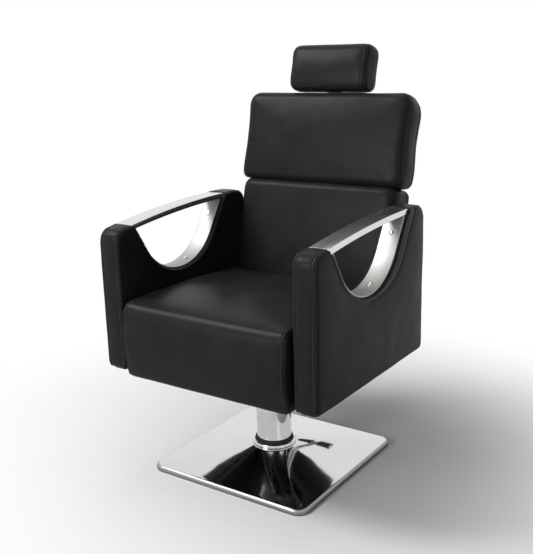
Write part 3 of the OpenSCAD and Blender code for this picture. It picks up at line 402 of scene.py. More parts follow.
def new_material(name, group_name, stretch=None):
    """A material with its shader, Object coordinates and one placed effect group."""
    material = bpy.data.materials.new(name)
    material.use_nodes = True
    tree = material.node_tree
    shader = tree.nodes["Principled BSDF"]
    vector = tree.nodes.new("ShaderNodeTexCoord").outputs["Object"]
    if stretch:
        vector = add_node(tree, "ShaderNodeMapping", Vector=vector, Scale=stretch).outputs["Vector"]
    effect = tree.nodes.new("ShaderNodeGroup")
    effect.node_tree = bpy.data.node_groups[group_name]
    tree.links.new(vector, effect.inputs["Vector"])
    return material, tree, shader, effect


def add_bump(tree, shader, height, strength, distance):
    bump = add_node(tree, "ShaderNodeBump", Strength=strength, Distance=distance, Height=height)
    tree.links.new(bump.outputs["Normal"], shader.inputs["Normal"])


def seen_ray(tree):
    """1 on a ray from the camera, or on one that a polished or clear surface shows."""
    paths = tree.nodes.new("ShaderNodeLightPath")
    seen = math_node(tree, "MAXIMUM", paths.outputs["Is Camera Ray"], paths.outputs["Is Glossy Ray"])
    return math_node(tree, "MAXIMUM", seen, paths.outputs["Is Transmission Ray"])


def rgba(colour, gain):
    return (colour[0] * gain, colour[1] * gain, colour[2] * gain, 1.0)


def uneven(tree, shader, tone, colour, gains, gloss, rough):
    """Colour and roughness that wander between two values over a surface."""
    dark, bright = gains
    mixed = mixed_colour(tree, tone, rgba(colour, dark), rgba(colour, bright))
    tree.links.new(mixed, shader.inputs["Base Color"])
    tree.links.new(between(tree, gloss, *rough), shader.inputs["Roughness"])


def leather_material(name, colour, roughness, specular):
    material, tree, shader, grain = new_material(name, "leather grain")
    uneven(tree, shader, grain.outputs["Tone"], colour, (0.62, 1.75),
           grain.outputs["Gloss"], (roughness - 0.07, roughness + 0.09))
    add_bump(tree, shader, grain.outputs["Height"], 0.28, 0.00035)
    shader.inputs["Specular IOR Level"].default_value = specular
    return material


def metal_material(name, colour, roughness, stretch, lines):
    material, tree, shader, marks = new_material(name, "polish marks", stretch)
    smear = marks.outputs["Smear"]
    uneven(tree, shader, smear, colour, (0.94, 1.05), smear, (roughness * 0.6, roughness * 1.4))
    shader.inputs["Metallic"].default_value = 1.0
    add_bump(tree, shader, marks.outputs["Line"], lines, 0.00004)
    return material


def satin_and_painted_shade_below(material, height, roughness, colour):
    """Makes a material rougher below a height, and gives it another, darker colour there: painted shade that
    dims its reflections.
    """
    fade = 0.7 * MM
    tree = material.node_tree
    shader = tree.nodes["Principled BSDF"]
    polished = shader.inputs["Roughness"].links[0].from_socket
    bright = shader.inputs["Base Color"].links[0].from_socket
    place = tree.nodes.new("ShaderNodeTexCoord").outputs["Object"]
    place = add_node(tree, "ShaderNodeSeparateXYZ", Vector=place)
    low = add_node(tree, "ShaderNodeMapRange", Value=place.outputs["Z"],
                   From_Min=height, From_Max=height - fade)
    satin = math_node(tree, "MULTIPLY", low.outputs["Result"], roughness)
    tree.links.new(math_node(tree, "MAXIMUM", polished, satin), shader.inputs["Roughness"])
    tree.links.new(mixed_colour(tree, low.outputs["Result"], bright, colour), shader.inputs["Base Color"])


def speckled_material(name, colour, roughness, metallic, bump, scale):
    material, tree, shader, speckle = new_material(name, "speckle")
    speckle.inputs["Speck Scale"].default_value = scale
    cloud = speckle.outputs["Cloud"]
    uneven(tree, shader, cloud, colour, (0.72, 1.22), cloud, (roughness - 0.08, roughness + 0.10))
    shader.inputs["Metallic"].default_value = metallic
    add_bump(tree, shader, speckle.outputs["Speck"], bump, 0.0003)
    return material


# Soft pieces

def node_copy(node, name):
    """A merged copy of a node's mesh, as a new piece."""
    piece = bpy.data.objects.new(name, frame["nodes"][node].data.copy())
    piece.data.name = name
    piece.data.materials.clear()
    bpy.context.scene.collection.objects.link(piece)
    faces_out(piece)
    return piece


def filled(piece, sizes, held, axes):
    """Fills a pad by a short cloth simulation.

    The points that held marks stay where they are, and so do the rounded edges, where the seams are."""
    flat_share = 0.95
    mesh = piece.data
    normals = normals_of(mesh)
    start = points_of(mesh)
    fixed = held(start, normals) | (np.abs(normals @ np.array(axes).T).max(axis=1) < flat_share)
    start[~fixed] -= normals[~fixed] * sizes.pull
    set_points(mesh, start)
    group = piece.vertex_groups.new(name="held")
    group.add([int(i) for i in np.flatnonzero(fixed)], 1.0, "REPLACE")
    cloth = piece.modifiers.new("filling", "CLOTH")
    cloth.settings.quality = 3
    cloth.settings.use_pressure = True
    cloth.settings.uniform_pressure_force = 4
    cloth.settings.effector_weights.gravity = 0
    cloth.settings.vertex_group_mass = "held"
    cloth.point_cache.frame_start = 1
    cloth.point_cache.frame_end = sizes.cloth_frames
    for step in range(1, sizes.cloth_frames + 1):
        bpy.context.scene.frame_set(step)
    result = piece.evaluated_get(bpy.context.evaluated_depsgraph_get())
    move = points_of(result.data) - start
    length = np.linalg.norm(move, axis=1, keepdims=True)
    piece.modifiers.remove(cloth)
    piece.vertex_groups.remove(group)
    bpy.context.scene.frame_set(1)
    set_points(mesh, start + move * np.minimum(1, sizes.swell / np.maximum(length, 1e-9)))


def rippled(piece, height, seed, length=0.10):
    """Slow waves in the leather."""
    points = points_of(piece.data)
    normals = normals_of(piece.data)
    wave = np.array([
        noise.noise(Vector(p) / length + Vector((seed, 0, 0)))
        + 0.5 * noise.noise(Vector(p) * 2.3 / length + Vector((0, seed, 0)))
        for p in points])
    set_points(piece.data, points + normals * (wave * height)[:, None])


def softened(piece, weights, steps):
    """Rounds a pad where the weights are high."""
    group = piece.vertex_groups.new(name="soft")
    for i in np.flatnonzero(weights > 0.01):
        group.add([int(i)], float(weights[i]), "REPLACE")
    relaxed(piece, steps, group.name)
    piece.vertex_groups.clear()


def stuffed(node, name, sizes, held, seed, axes=((1, 0, 0), (0, 1, 0), (0, 0, 1))):
    """A pad made from its node: remeshed, filled and rippled."""
    piece = node_copy(node, name)
    remesh = piece.modifiers.new("remesh", "REMESH")
    remesh.mode = "VOXEL"
    remesh.voxel_size = sizes.voxel
    relaxed(piece, 4)
    filled(piece, sizes, held, axes)
    relaxed(piece, 3)
    rippled(piece, sizes.ripple, seed)
    make_active(piece)
    bpy.ops.object.shade_smooth()
    return piece


def cut_along(piece, point, normal, offsets, reach, chosen):
    """Cuts the faces that chosen marks along planes beside the seam's own plane."""
    edit(piece, "DESELECT")
    bpy.ops.mesh.select_mode(type="FACE")
    for offset in offsets:
        bpy.ops.mesh.select_all(action="DESELECT")
        mesh = bmesh.from_edit_mesh(piece.data)
        centres = np.array([f.calc_center_median() for f in mesh.faces])
        distance = (centres - np.array(point)) @ np.array(normal) - offset
        near = np.flatnonzero((np.abs(distance) < reach) & chosen(centres))
        mesh.faces.ensure_lookup_table()
        for i in near:
            mesh.faces[int(i)].select_set(True)
        bmesh.update_edit_mesh(piece.data)
        bpy.ops.mesh.bisect(plane_co=Vector(point) + Vector(normal) * offset, plane_no=normal)
    end_edit()


def chains_on(mesh, distance, tolerance, chosen):
    """The chains of edges whose points lie within a tolerance of distance 0, without the short ones."""
    shortest = 13
    points = points_of(mesh)
    near = (np.abs(distance) < tolerance) & chosen(points)
    edges = np.empty(len(mesh.edges) * 2, np.int32)
    mesh.edges.foreach_get("vertices", edges)
    edges = edges.reshape(-1, 2)
    edges = edges[near[edges[:, 0]] & near[edges[:, 1]]]
    linked = {}
    for a, b in edges.tolist():
        linked.setdefault(a, []).append(b)
        linked.setdefault(b, []).append(a)
    left = set(linked)
    chains = []
    starts = sorted(linked, key=lambda v: (len(linked[v]) != 1, v))
    for first in starts:
        if first not in left:
            continue
        chain = [first]
        left.discard(first)
        while True:
            ahead = [v for v in linked[chain[-1]] if v in left]
            if not ahead:
                break
            chain.append(ahead[0])
            left.discard(ahead[0])
        if len(chain) >= shortest:
            if chain[0] in linked[chain[-1]]:
                chain.append(chain[0])
            chains.append(chain)
    return chains


def stitch_mesh(sizes):
    """One stitch, modelled once: a short length of thread, thin at both ends."""
    deselect()
    bpy.ops.mesh.primitive_uv_sphere_add(segments=6, ring_count=4, radius=0.5, rotation=(0, math.pi / 2, 0))
    stitch = new_piece("stitch")
    edit(stitch)
    bpy.ops.transform.resize(value=(sizes.stitch_length, sizes.thread_width, sizes.thread_width * 0.8))
    end_edit()
    points = points_of(stitch.data)
    faces = [tuple(f.vertices) for f in stitch.data.polygons]
    bpy.data.objects.remove(stitch)
    return points, faces


def stitch_places(piece, chain, pitch):
    """Evenly spaced places along a chain: the point, the way along it and the way out."""
    points = points_of(piece.data)[chain]
    normals = normals_of(piece.data)[chain]
    along = np.concatenate([[0], np.cumsum(np.linalg.norm(np.diff(points, axis=0), axis=1))])
    stations = np.arange(pitch / 2, along[-1], pitch)

    def at(where, values):
        return np.stack([np.interp(where, along, values[:, i]) for i in range(3)], axis=1)

    def unit(vectors):
        return vectors / np.maximum(np.linalg.norm(vectors, axis=1, keepdims=True), 1e-9)

    way = unit(at(stations + pitch * 0.4, points) - at(stations - pitch * 0.4, points))
    side = unit(np.cross(at(stations, normals), way))
    return at(stations, points), way, side, np.cross(way, side)


def sewn(piece, sizes, seams):
    """Presses seams into a pad and returns its stitches as a second piece.

    A seam is (point, normal, chosen), where chosen marks the points that it may reach. The leather dips
    most under each row of stitches, and comes back to its level at the distance wide."""
    half = sizes.seam_width / 2
    rim = half + 1.3 * MM
    tuck = half + 5.0 * MM
    wide = half + 15.0 * MM
    reach = sizes.voxel * 1.6
    profile_at = [0, half - 1.2 * MM, half, rim, tuck, wide]
    profile_h = [-0.1 * MM, -0.2 * MM, -sizes.seam_depth, -0.75 * MM, -0.35 * MM, 0]
    on_line = 0.06 * MM
    offsets = [s * d for d in profile_at[1:5] for s in (-1, 1)]
    for point, normal, chosen in seams:
        cut_along(piece, point, normal, [0] + offsets, reach, chosen)
    points = points_of(piece.data)
    normals = normals_of(piece.data)
    shift = np.zeros(len(points))
    for point, normal, chosen in seams:
        distance = np.abs((points - np.array(point)) @ np.array(normal))
        depth = np.interp(distance, profile_at, profile_h)
        shift = np.minimum(shift, np.where(chosen(points), depth, 0))
    flat = points.copy()
    set_points(piece.data, points + normals * shift[:, None])

    base, faces = stitch_mesh(sizes)
    verts = []
    polygons = []
    for point, normal, chosen in seams:
        distance = (flat - np.array(point)) @ np.array(normal)
        for side in (-1, 1):
            for chain in chains_on(piece.data, distance - side * half, on_line, chosen):
                for place, way, across, out in zip(*stitch_places(piece, chain, sizes.stitch_pitch)):
                    turn = np.stack([way, across, out])
                    first = len(verts) * len(base)
                    verts.append(base @ turn + place + out * sizes.thread_width * 0.25)
                    polygons.extend(tuple(first + i for i in face) for face in faces)
    mesh = bpy.data.meshes.new(piece.name + "_stitches")
    mesh.from_pydata(np.concatenate(verts).tolist(), [], polygons)
    stitches = bpy.data.objects.new(piece.name + "_stitches", mesh)
    bpy.context.scene.collection.objects.link(stitches)
    make_active(stitches)
    bpy.ops.object.shade_smooth()
    return stitches


def everywhere(points):
    return np.ones(len(points), bool)


def finish_pad(pad, stitches, body, fill, *nodes):
    dress(pad, Finishes.made["leather"], "leather", body, *nodes)
    dress(stitches, Finishes.made["thread"], "leather", body)


def cut_distance(points):
    """How far points lie outside the arm's cut-out, seen from the side."""
    across = np.abs(points[:, 1] - CUT_CENTRE[0])
    down = CUT_CENTRE[1] - points[:, 2]
    slope = across * math.sin(CUT_SLOPE) + down * math.cos(CUT_SLOPE) - CUT_R
    round_part = np.hypot(across, down) - CUT_R
    return np.where(across * math.cos(CUT_SLOPE) > down * math.sin(CUT_SLOPE), slope, round_part)


def v_of(points):
    return (points - np.array(HINGE)) @ np.array(BACK_V)


def u_of(points):
    return (points - np.array(HINGE)) @ np.array(BACK_U)


# Operators, one for each group of pieces

class CHAIR_OT_finishes(bpy.types.Operator):
    """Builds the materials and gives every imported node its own"""

    bl_idname = "chair.finishes"
    bl_label = "Finishes"

    def execute(self, context):
        colours = context.scene.chair_colours
        grain_group()
        marks_group("polish marks", "Line", 900.0, 3.0, "Smear", 9.0)
        marks_group("speckle", "Speck", 260.0, 4.0, "Cloud", 18.0)
        along = (1.0, 0.06, 0.06)
        evenly = (0.4, 0.4, 0.4)

        # Name, colour, roughness, stretch of the polishing marks and their relief
        metals = {
            "bar": ("polished steel bar", colours.steel, 0.22, along, 0.05),
            "liner": ("brushed steel liner", colours.brushed, 0.50, along, 0.10),
            "chrome": ("chrome", colours.chrome, 0.070, evenly, 0.01),
            "cover": ("chromed cover", colours.chrome, 0.070, evenly, 0.01)}

        # Name, colour, roughness, metallic, relief of the specks and their scale
        speckled = {
            "lining": ("black lining cloth", colours.lining, 0.85, 0.0, 0.50, 900.0),
            "thread": ("sewing thread", colours.thread, 0.55, 0.0, 0.40, 900.0),
            "zinc": ("zinc plated steel", colours.zinc, 0.36, 1.0, 0.12, 260.0),
            "dark_steel": ("black painted steel", colours.dark_steel, 0.42, 0.0, 0.25, 260.0),
            "rubber": ("rubber", colours.rubber, 0.72, 0.0, 0.35, 700.0),
            "plastic": ("black plastic", colours.rubber, 0.45, 0.0, 0.30, 500.0),
            "bronze": ("bronze", colours.bronze, 0.35, 1.0, 0.10, 260.0)}
        made = Finishes.made
        made["leather"] = leather_material("black leather", colours.leather, roughness=0.30, specular=0.055)
        for finish, values in metals.items():
            made[finish] = metal_material(*values)
        # Below the top of the rim the cover is rougher, and its colour is darkened to 0.42 of the chrome:
        # painted shade that dims the rim's reflections of the lamps.
        satin_and_painted_shade_below(made["cover"], BASE_RIM_Z - 0.2 * MM, 0.33, rgba(colours.chrome, 0.42))
        for finish, values in speckled.items():
            made[finish] = speckled_material(*values)
        by_slot = {
            "leather": "leather", "chrome": "chrome", "zinc_steel": "zinc", "dark_steel": "dark_steel",
            "ballast_iron": "dark_steel", "rubber": "rubber", "plywood": "lining",
            "bush_bronze": "bronze", "black_plastic": "plastic"}
        for part in frame["record"]["subparts"]:
            mesh = frame["nodes"][part["node"]].data
            mesh.materials.clear()
            mesh.materials.append(made[by_slot[part["material_slot"]]])
        return {"FINISHED"}


class CHAIR_OT_seat_cushion(bpy.types.Operator):
    """Fills and sews the seat cushion"""

    bl_idname = "chair.seat_cushion"
    bl_label = "Seat cushion"

    # Distance of the seams from the sides, how far back the nose is soft, and its rounds of smoothing
    seam_inset = 0.009
    nose_depth = 0.16
    nose_steps = 180

    def execute(self, context):
        sizes = context.scene.chair_sizes
        low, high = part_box("seat_cushion")
        board_half = 0.243
        board_front = low.y + 0.07
        board_top = 0.44

        def held(points, normals):
            """The underside, and the filling on the board behind the nose."""
            over_board = (np.abs(points[:, 0]) < board_half) & (points[:, 1] > board_front)
            return (normals[:, 2] < -0.3) | (over_board & (points[:, 2] < board_top))

        seat = stuffed("seat_cushion", "seat_cushion_leather", sizes, held, 1.7)
        x, y, z = points_of(seat.data).T
        nose = smoothstep(-y, -low.y - self.nose_depth, -low.y - self.nose_depth / 2)
        nose *= smoothstep(z, board_top - 0.10, board_top - 0.02)
        softened(seat, nose * smoothstep(high.x - np.abs(x), 0.012, 0.05), self.nose_steps)
        edge = high.x - self.seam_inset
        foot = low.z + 4 * MM

        def outside(points):
            return points[:, 2] > foot

        stitches = sewn(seat, sizes, [
            ((side * edge, 0, 0), (1, 0, 0), outside) for side in (-1, 1)])
        finish_pad(seat, stitches, "seat", 0.9, "seat_cushion")
        return {"FINISHED"}


class CHAIR_OT_arm_panels(bpy.types.Operator):
    """Fills and sews the two arm panels, with the soft roll round each cut-out"""

    bl_idname = "chair.arm_panels"
    bl_label = "Arm panels"

    # Distance of the seams from the sides, and the leather's hem at the cut-out
    seam_inset = 0.0105
    hem = 0.009

    # The roll round the cut-out: its width in front, and what that gains up to a turn in degrees
    roll_width = 0.012
    roll_gain = 0.024
    roll_turn = 62

    def execute(self, context):
        sizes = context.scene.chair_sizes
        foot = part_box("arm_cover_left")[0].z + 0.003

        def held(points, normals):
            """The hem round the cut-out, and the foot."""
            return (cut_distance(points) < self.hem) | (points[:, 2] < foot)

        panel = stuffed("arm_cover_left", "arm_leather_left", sizes, held, 4.1)
        self.tighten(panel)
        self.roll(panel)

        def band(points):
            return (cut_distance(points) > 3 * MM) & (points[:, 2] > foot)

        stitches = sewn(panel, sizes, [
            ((x, 0, 0), (1, 0, 0), band)
            for x in (ARM_INNER_X + self.seam_inset, ARM_OUTER_X - self.seam_inset)])
        other = mirrored(panel, "arm_leather_right")
        other_stitches = mirrored(stitches, "arm_leather_right_stitches")
        finish_pad(panel, stitches, "seat", 0.8, "arm_cover_left")
        finish_pad(other, other_stitches, "seat", 0.8, "arm_cover_right")
        return {"FINISHED"}

    def tighten(self, panel):
        """Draws the leather over the cut-out's edge in a small round."""
        points = points_of(panel.data)
        normals = normals_of(panel.data)
        edge_r = 5 * MM
        middle = (ARM_INNER_X + ARM_OUTER_X) / 2
        half = (ARM_OUTER_X - ARM_INNER_X) / 2
        out = points[:, 0] - middle
        inside = np.clip(edge_r - cut_distance(points), 0, edge_r)
        wanted = np.sign(out) * (half - edge_r + np.sqrt(edge_r ** 2 - inside ** 2))
        near = 1 - smoothstep(cut_distance(points), 8 * MM, 14 * MM)
        share = near * smoothstep(np.abs(normals[:, 0]), 0.25, 0.6)
        points[:, 0] += (wanted - out) * share
        set_points(panel.data, points)

    def roll(self, panel):
        """The leather is gathered round the cut-out: a soft roll, with a shallow groove outside it."""
        points = points_of(panel.data)
        normals = normals_of(panel.data)
        across = points[:, 1] - CUT_CENTRE[0]
        down = CUT_CENTRE[1] - points[:, 2]
        turn = np.degrees(np.arctan2(across, down))
        offset = self.roll_width + self.roll_gain * smoothstep(turn, 0, self.roll_turn)
        strength = smoothstep(turn, -30, 12)
        distance = cut_distance(points) - offset
        groove = -1.9 * MM * np.exp(-(distance / (4.5 * MM)) ** 2)
        bulge = 0.9 * MM * np.exp(-((distance + offset * 0.5) / (offset * 0.45)) ** 2)
        flat_side = np.abs(normals[:, 0]) > 0.7
        shift = np.where(flat_side, (groove + bulge) * strength, 0)
        set_points(panel.data, points + normals * shift[:, None])


class CHAIR_OT_back_pads(bpy.types.Operator):
    """Fills and sews the lower and the upper back pad"""

    bl_idname = "chair.back_pads"
    bl_label = "Back pads"

    # Places through a pad of its two seams and of the back board, and the board's sizes
    seams_v = (-0.073, -0.012)
    board_v = -0.022
    board_depth = 0.022
    board_half = 0.205

    def execute(self, context):
        sizes = context.scene.chair_sizes
        for node, name, seed in (("back_pad_lower", "lower_back_leather", 7.3),
                                 ("back_pad_upper", "upper_back_leather", 9.9)):
            pad = stuffed(node, name, sizes, self.held, seed, BACK_AXES)
            self.meet(pad, 1 if node == "back_pad_lower" else -1)
            seams = [(HINGE + BACK_V * v, BACK_V, everywhere) for v in self.seams_v]
            finish_pad(pad, sewn(pad, sizes, seams), "back", 0.9, node)
        self.skirt()
        return {"FINISHED"}

    def held(self, points, normals):
        """The points on the back board."""
        on_board = np.abs(v_of(points) - self.board_v) < self.board_depth / 2
        return on_board & (np.abs(points[:, 0]) < self.board_half)

    def meet(self, pad, side):
        """Draws a pad's end towards the other pad, so that the two press together. Side is 1 upwards."""
        points = points_of(pad.data)
        along = side * u_of(points)
        share = smoothstep(along, along.max() - 35 * MM, along.max() - 4 * MM)
        points += np.outer(share * side * 3.2 * MM, BACK_U)
        set_points(pad.data, points)

    def skirt(self):
        """A strip of black lining that closes the back below its board."""
        foot = Vector((0, 0.296, 0.308))
        head = HINGE + BACK_U * 0.062 + BACK_V * 0.006
        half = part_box("back_pad_lower")[1].x - 22 * MM
        skirt = add_plane("back_skirt", size=1)
        for v in skirt.data.vertices:
            end = foot if v.co.y < 0 else head
            v.co = (half if v.co.x > 0 else -half, end.y, end.z)
        edit(skirt)
        bpy.ops.mesh.subdivide(number_cuts=24)
        end_edit()
        rippled(skirt, 1.2 * MM, 5.5, 0.05)
        thickened(skirt, 2 * MM, 0)
        faces_out(skirt)
        smooth_by_angle(skirt, 40)
        dress(skirt, Finishes.made["lining"], "leather", "back")


class CHAIR_OT_headrest(bpy.types.Operator):
    """Fills and sews the headrest pillow"""

    bl_idname = "chair.headrest"
    bl_label = "Headrest pillow"

    def execute(self, context):
        sizes = context.scene.chair_sizes
        seam_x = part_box("headrest_pad")[1].x - 0.012
        post_v = -0.039

        def held(points, normals):
            """The points round the post."""
            return (np.abs(points[:, 0]) < 0.03) & (np.abs(v_of(points) - post_v) < 0.008)

        pillow = stuffed("headrest_pad", "headrest_leather", sizes, held, 12.3, BACK_AXES)
        stitches = sewn(pillow, sizes, [
            ((side * seam_x, 0, 0), (1, 0, 0), everywhere) for side in (-1, 1)])
        finish_pad(pillow, stitches, "headrest", 0.95, "headrest_pad")
        return {"FINISHED"}


def steel_strip(name, path, x0, x1, thickness, edge_r, away):
    """A strip of steel drawn out along a path in the plane of Y and Z, thick towards the point away."""
    strip = add_plane(name, size=1)
    for v in strip.data.vertices:
        y, z = path[0] if v.co.y < 0 else path[1]
        v.co = (x0 if v.co.x < 0 else x1, y, z)
    edit(strip, "DESELECT")
    bpy.ops.mesh.select_mode(type="VERT")
    mesh = bmesh.from_edit_mesh(strip.data)
    tip = Vector((0, path[1][0], path[1][1]))
    for v in mesh.verts:
        v.select_set((Vector((0, v.co.y, v.co.z)) - tip).length < 0.01 * MM)
    mesh.select_flush(True)
    bmesh.update_edit_mesh(strip.data)
    for (y0, z0), (y1, z1) in zip(path[1:-1], path[2:]):
        bpy.ops.mesh.extrude_region_move(
            TRANSFORM_OT_translate={"value": (0, y1 - y0, z1 - z0)})
    end_edit()
    middle = strip.data.polygons[len(strip.data.polygons) // 2]
    if middle.normal.dot(Vector(away) - middle.center) < 0:
        strip.data.flip_normals()
    thickened(strip, thickness, 1, even=True)
    faces_out(strip)
    rounded(strip, edge_r)
    smooth_by_angle(strip)
    return strip


def bar_foot_z(y):
    """Height of the armrest bar's underside."""
    return BAR_TOP_Z - BAR_T - ARCH_R + math.sqrt(ARCH_R ** 2 - (y - ARCH_Y) ** 2)


def side_point(side, z, inset):
    """The cut-out's straight side at a height, moved in by inset. Side is -1 in front and 1 behind."""
    reach = (CUT_R - inset - (CUT_CENTRE[1] - z) * math.cos(CUT_SLOPE)) / math.sin(CUT_SLOPE)
    return CUT_CENTRE[0] + side * reach


class CHAIR_OT_arm_steel(bpy.types.Operator):
    """Models the steel liners, the arched armrest bars and the liners' screws"""

    bl_idname = "chair.arm_steel"
    bl_label = "Armrest steel"

    # Sheet of the liners, its gap to the bar, and the straight stretches along the liner and the bar
    liner_t = 0.004
    liner_gap = 0.0002
    liner_steps = 44
    bar_steps = 48

    def execute(self, context):
        low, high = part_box("arm_liner_left")
        ends = []
        for side, y in ((-1, low.y), (1, high.y)):
            z = bar_foot_z(y) - self.liner_gap
            ends.append((side_point(side, z, self.liner_t), z))
        radius = CUT_R - self.liner_t
        turns = [CUT_SLOPE * (2 * i / self.liner_steps - 1) for i in range(self.liner_steps + 1)]
        curve = [(CUT_CENTRE[0] + radius * math.sin(a), CUT_CENTRE[1] - radius * math.cos(a)) for a in turns]
        liner = steel_strip("arm_liner_polished_left", [ends[0], *curve, ends[1]], low.x, high.x,
                            self.liner_t, 0.9 * MM, (low.x, CUT_CENTRE[0], low.z - 1))
        self.both_arms(liner, "arm_liner_polished_right", "liner", "arm_liner")

        low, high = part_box("armrest_bar_left")
        ys = [high.y + (low.y - high.y) * i / self.bar_steps for i in range(self.bar_steps + 1)]
        bar = steel_strip("armrest_polished_left", [(y, bar_foot_z(y)) for y in ys],
                          low.x, high.x, BAR_T, 2.2 * MM, (low.x, 0, high.z + 1))
        self.both_arms(bar, "armrest_polished_right", "bar", "armrest_bar")

        screws = self.screws(context.scene.chair_sizes)
        self.both_arms(screws, "liner_screw_heads_right", "chrome", "liner_screws")
        return {"FINISHED"}

    def both_arms(self, piece, right_name, finish, node):
        """Dresses a piece of the left arm and its mirrored copy on the right one."""
        other = mirrored(piece, right_name)
        dress(piece, Finishes.made[finish], "chrome", "seat", node + "_left")
        dress(other, Finishes.made[finish], "chrome", "seat", node + "_right")

    def screws(self, sizes):
        """Pan heads with a hexagon socket, modelled once and set at the four places of a liner."""
        height = 3 * MM
        deselect()
        bpy.ops.mesh.primitive_cylinder_add(vertices=36, radius=sizes.screw_r, depth=height,
                                            location=(0, 0, height / 2))
        head = new_piece("screw_head")
        edit(head, "DESELECT")
        bpy.ops.mesh.select_mode(type="FACE")
        mesh = bmesh.from_edit_mesh(head.data)
        for face in mesh.faces:
            face.select_set(face.normal.z > 0.9)
        bmesh.update_edit_mesh(head.data)
        bpy.ops.mesh.inset(thickness=sizes.screw_r * 0.52, depth=0)
        mesh = bmesh.from_edit_mesh(head.data)
        socket = [f for f in mesh.faces if f.select][0]
        for v in socket.verts:
            turn = math.atan2(v.co.y, v.co.x) % math.radians(60) - math.radians(30)
            reach = sizes.screw_r * 0.42 / math.cos(turn)
            v.co.x, v.co.y = Vector((v.co.x, v.co.y)).normalized() * reach
        bmesh.update_edit_mesh(head.data)
        bpy.ops.mesh.extrude_region_move(TRANSFORM_OT_translate={"value": (0, 0, -1.6 * MM)})
        end_edit()
        rounded(head, 0.7 * MM, angle=50)
        smooth_by_angle(head, 40)
        low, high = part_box("liner_screws_left")
        middle = Vector(((low.x + high.x) / 2, CUT_CENTRE[0], CUT_CENTRE[1]))
        pieces = []
        for side in (-1, 1):
            for a, lift in ((math.radians(19), 0), (CUT_SLOPE, 0.050)):
                out = Vector((0, side * math.sin(a), -math.cos(a)))
                up = Vector((0, side * math.cos(a), math.sin(a)))
                seat = middle + out * (CUT_R - self.liner_t) + up * lift
                one = head.copy()
                one.data = head.data.copy()
                bpy.context.scene.collection.objects.link(one)
                turn = (-out).to_track_quat("Z", "Y").to_matrix().to_4x4()
                one.data.transform(Matrix.Translation(seat) @ turn)
                pieces.append(one)
        bpy.data.objects.remove(head)
        make_active(pieces[0])
        for one in pieces:
            one.select_set(True)
        bpy.ops.object.join()
        pieces[0].name = "liner_screw_heads_left"
        return pieces[0]


def spun_ring(name, r0, r1, z0, z1, edge_r):
    """A ring of rounded section, spun round the column's axis."""
    ring = add_plane(name, size=1, location=((r0 + r1) / 2, 0, (z0 + z1) / 2),
                     rotation=(math.pi / 2, 0, 0))
    for v in ring.data.vertices:
        v.co.x = r0 if v.co.x < (r0 + r1) / 2 else r1
        v.co.z = z0 if v.co.z < (z0 + z1) / 2 else z1
    edit(ring)
    bpy.ops.mesh.bevel(offset=edge_r, segments=5, affect="VERTICES")
    bpy.ops.mesh.select_all(action="SELECT")
    bpy.ops.mesh.delete(type="ONLY_FACE")
    bpy.ops.mesh.select_all(action="SELECT")
    bpy.ops.mesh.spin(steps=128, angle=2 * math.pi, center=(0, 0, 0), axis=(0, 0, 1))
    end_edit()
    faces_out(ring)
    smooth_by_angle(ring, 40)
    return ring


class CHAIR_OT_base(bpy.types.Operator):
    """Models the pressed cover of the base, a rounded square that rises to the trim ring as a cone"""

    bl_idname = "chair.base"
    bl_label = "Base cover"

    # How late the cone's round rings turn into the square rim
    squareness = 1.9

    # Sizes of the pressed sheet: its wall, corners, edge and flange under the trim ring
    wall = 0.0014
    corner = 0.032
    edge = 0.009
    flange = 0.007

    # Points round the cover, and its rows down the cone and down the edge
    sides = 256
    cone_rows = 34
    edge_rows = 12

    def execute(self, context):
        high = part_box("base_cover")[1]
        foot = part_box("base_strip")[1].z
        ring_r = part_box("trim_ring")[1].x
        inner = ring_r - self.flange
        deselect()
        bpy.ops.mesh.primitive_circle_add(vertices=self.sides, radius=inner, fill_type="NOTHING")
        cover = new_piece("base_cover_chromed")
        edit(cover)
        bpy.ops.mesh.select_mode(type="EDGE")
        for _ in range(self.cone_rows + self.edge_rows + 2):
            bpy.ops.mesh.extrude_region_move(TRANSFORM_OT_translate={"value": (0, 0, 0)})
        end_edit()
        first = points_of(cover.data)[:self.sides]
        turn = np.arctan2(first[:, 1], first[:, 0])
        rows = [(np.full(self.sides, inner), high.z)]
        rows += self.rows(turn, high.x, ring_r, high.z)
        rows.append((self.outline(turn, high.x, self.corner), foot))
        set_points(cover.data, np.concatenate([
            np.stack([r * np.cos(turn), r * np.sin(turn), np.full(self.sides, z)], axis=1)
            for r, z in rows]))
        faces_out(cover)
        rippled(cover, 0.10 * MM, 3.1, 0.055)
        thickened(cover, self.wall, -1)
        smooth_by_angle(cover, 50)
        dress(cover, Finishes.made["cover"], "chrome", "base", "base_cover")
        return {"FINISHED"}

    def rows(self, turn, half, ring_r, top):
        """The rows of points down the cone and the edge: distances from the axis, and a height."""
        reach = self.outline(turn, half, self.corner)
        flat = self.outline(turn, half - self.edge, self.corner - self.edge)
        round_r = half - self.edge
        rows = []
        for i in range(self.cone_rows + 1):
            s = i / self.cone_rows
            cone = ring_r + (round_r - ring_r) * s
            rows.append((cone + (flat - round_r) * s ** self.squareness, top - (top - BASE_RIM_Z) * s))
        for i in range(1, self.edge_rows + 1):
            a = math.pi / 2 * i / self.edge_rows
            rows.append((flat + (reach - flat) * math.sin(a), BASE_RIM_Z - self.edge * (1 - math.cos(a))))
        return rows

    def outline(self, turn, half, corner):
        """Distance from the axis to a rounded square, in each direction."""
        across = np.abs(np.cos(turn))
        along = np.abs(np.sin(turn))
        flat = half / np.maximum(across, along)
        straight = half - corner
        toward = straight * (across + along)
        round_part = toward + np.sqrt(np.maximum(corner ** 2 - 2 * straight ** 2 + toward ** 2, 0))
        on_side = flat * np.minimum(across, along) <= straight
        return np.where(on_side, flat, round_part)


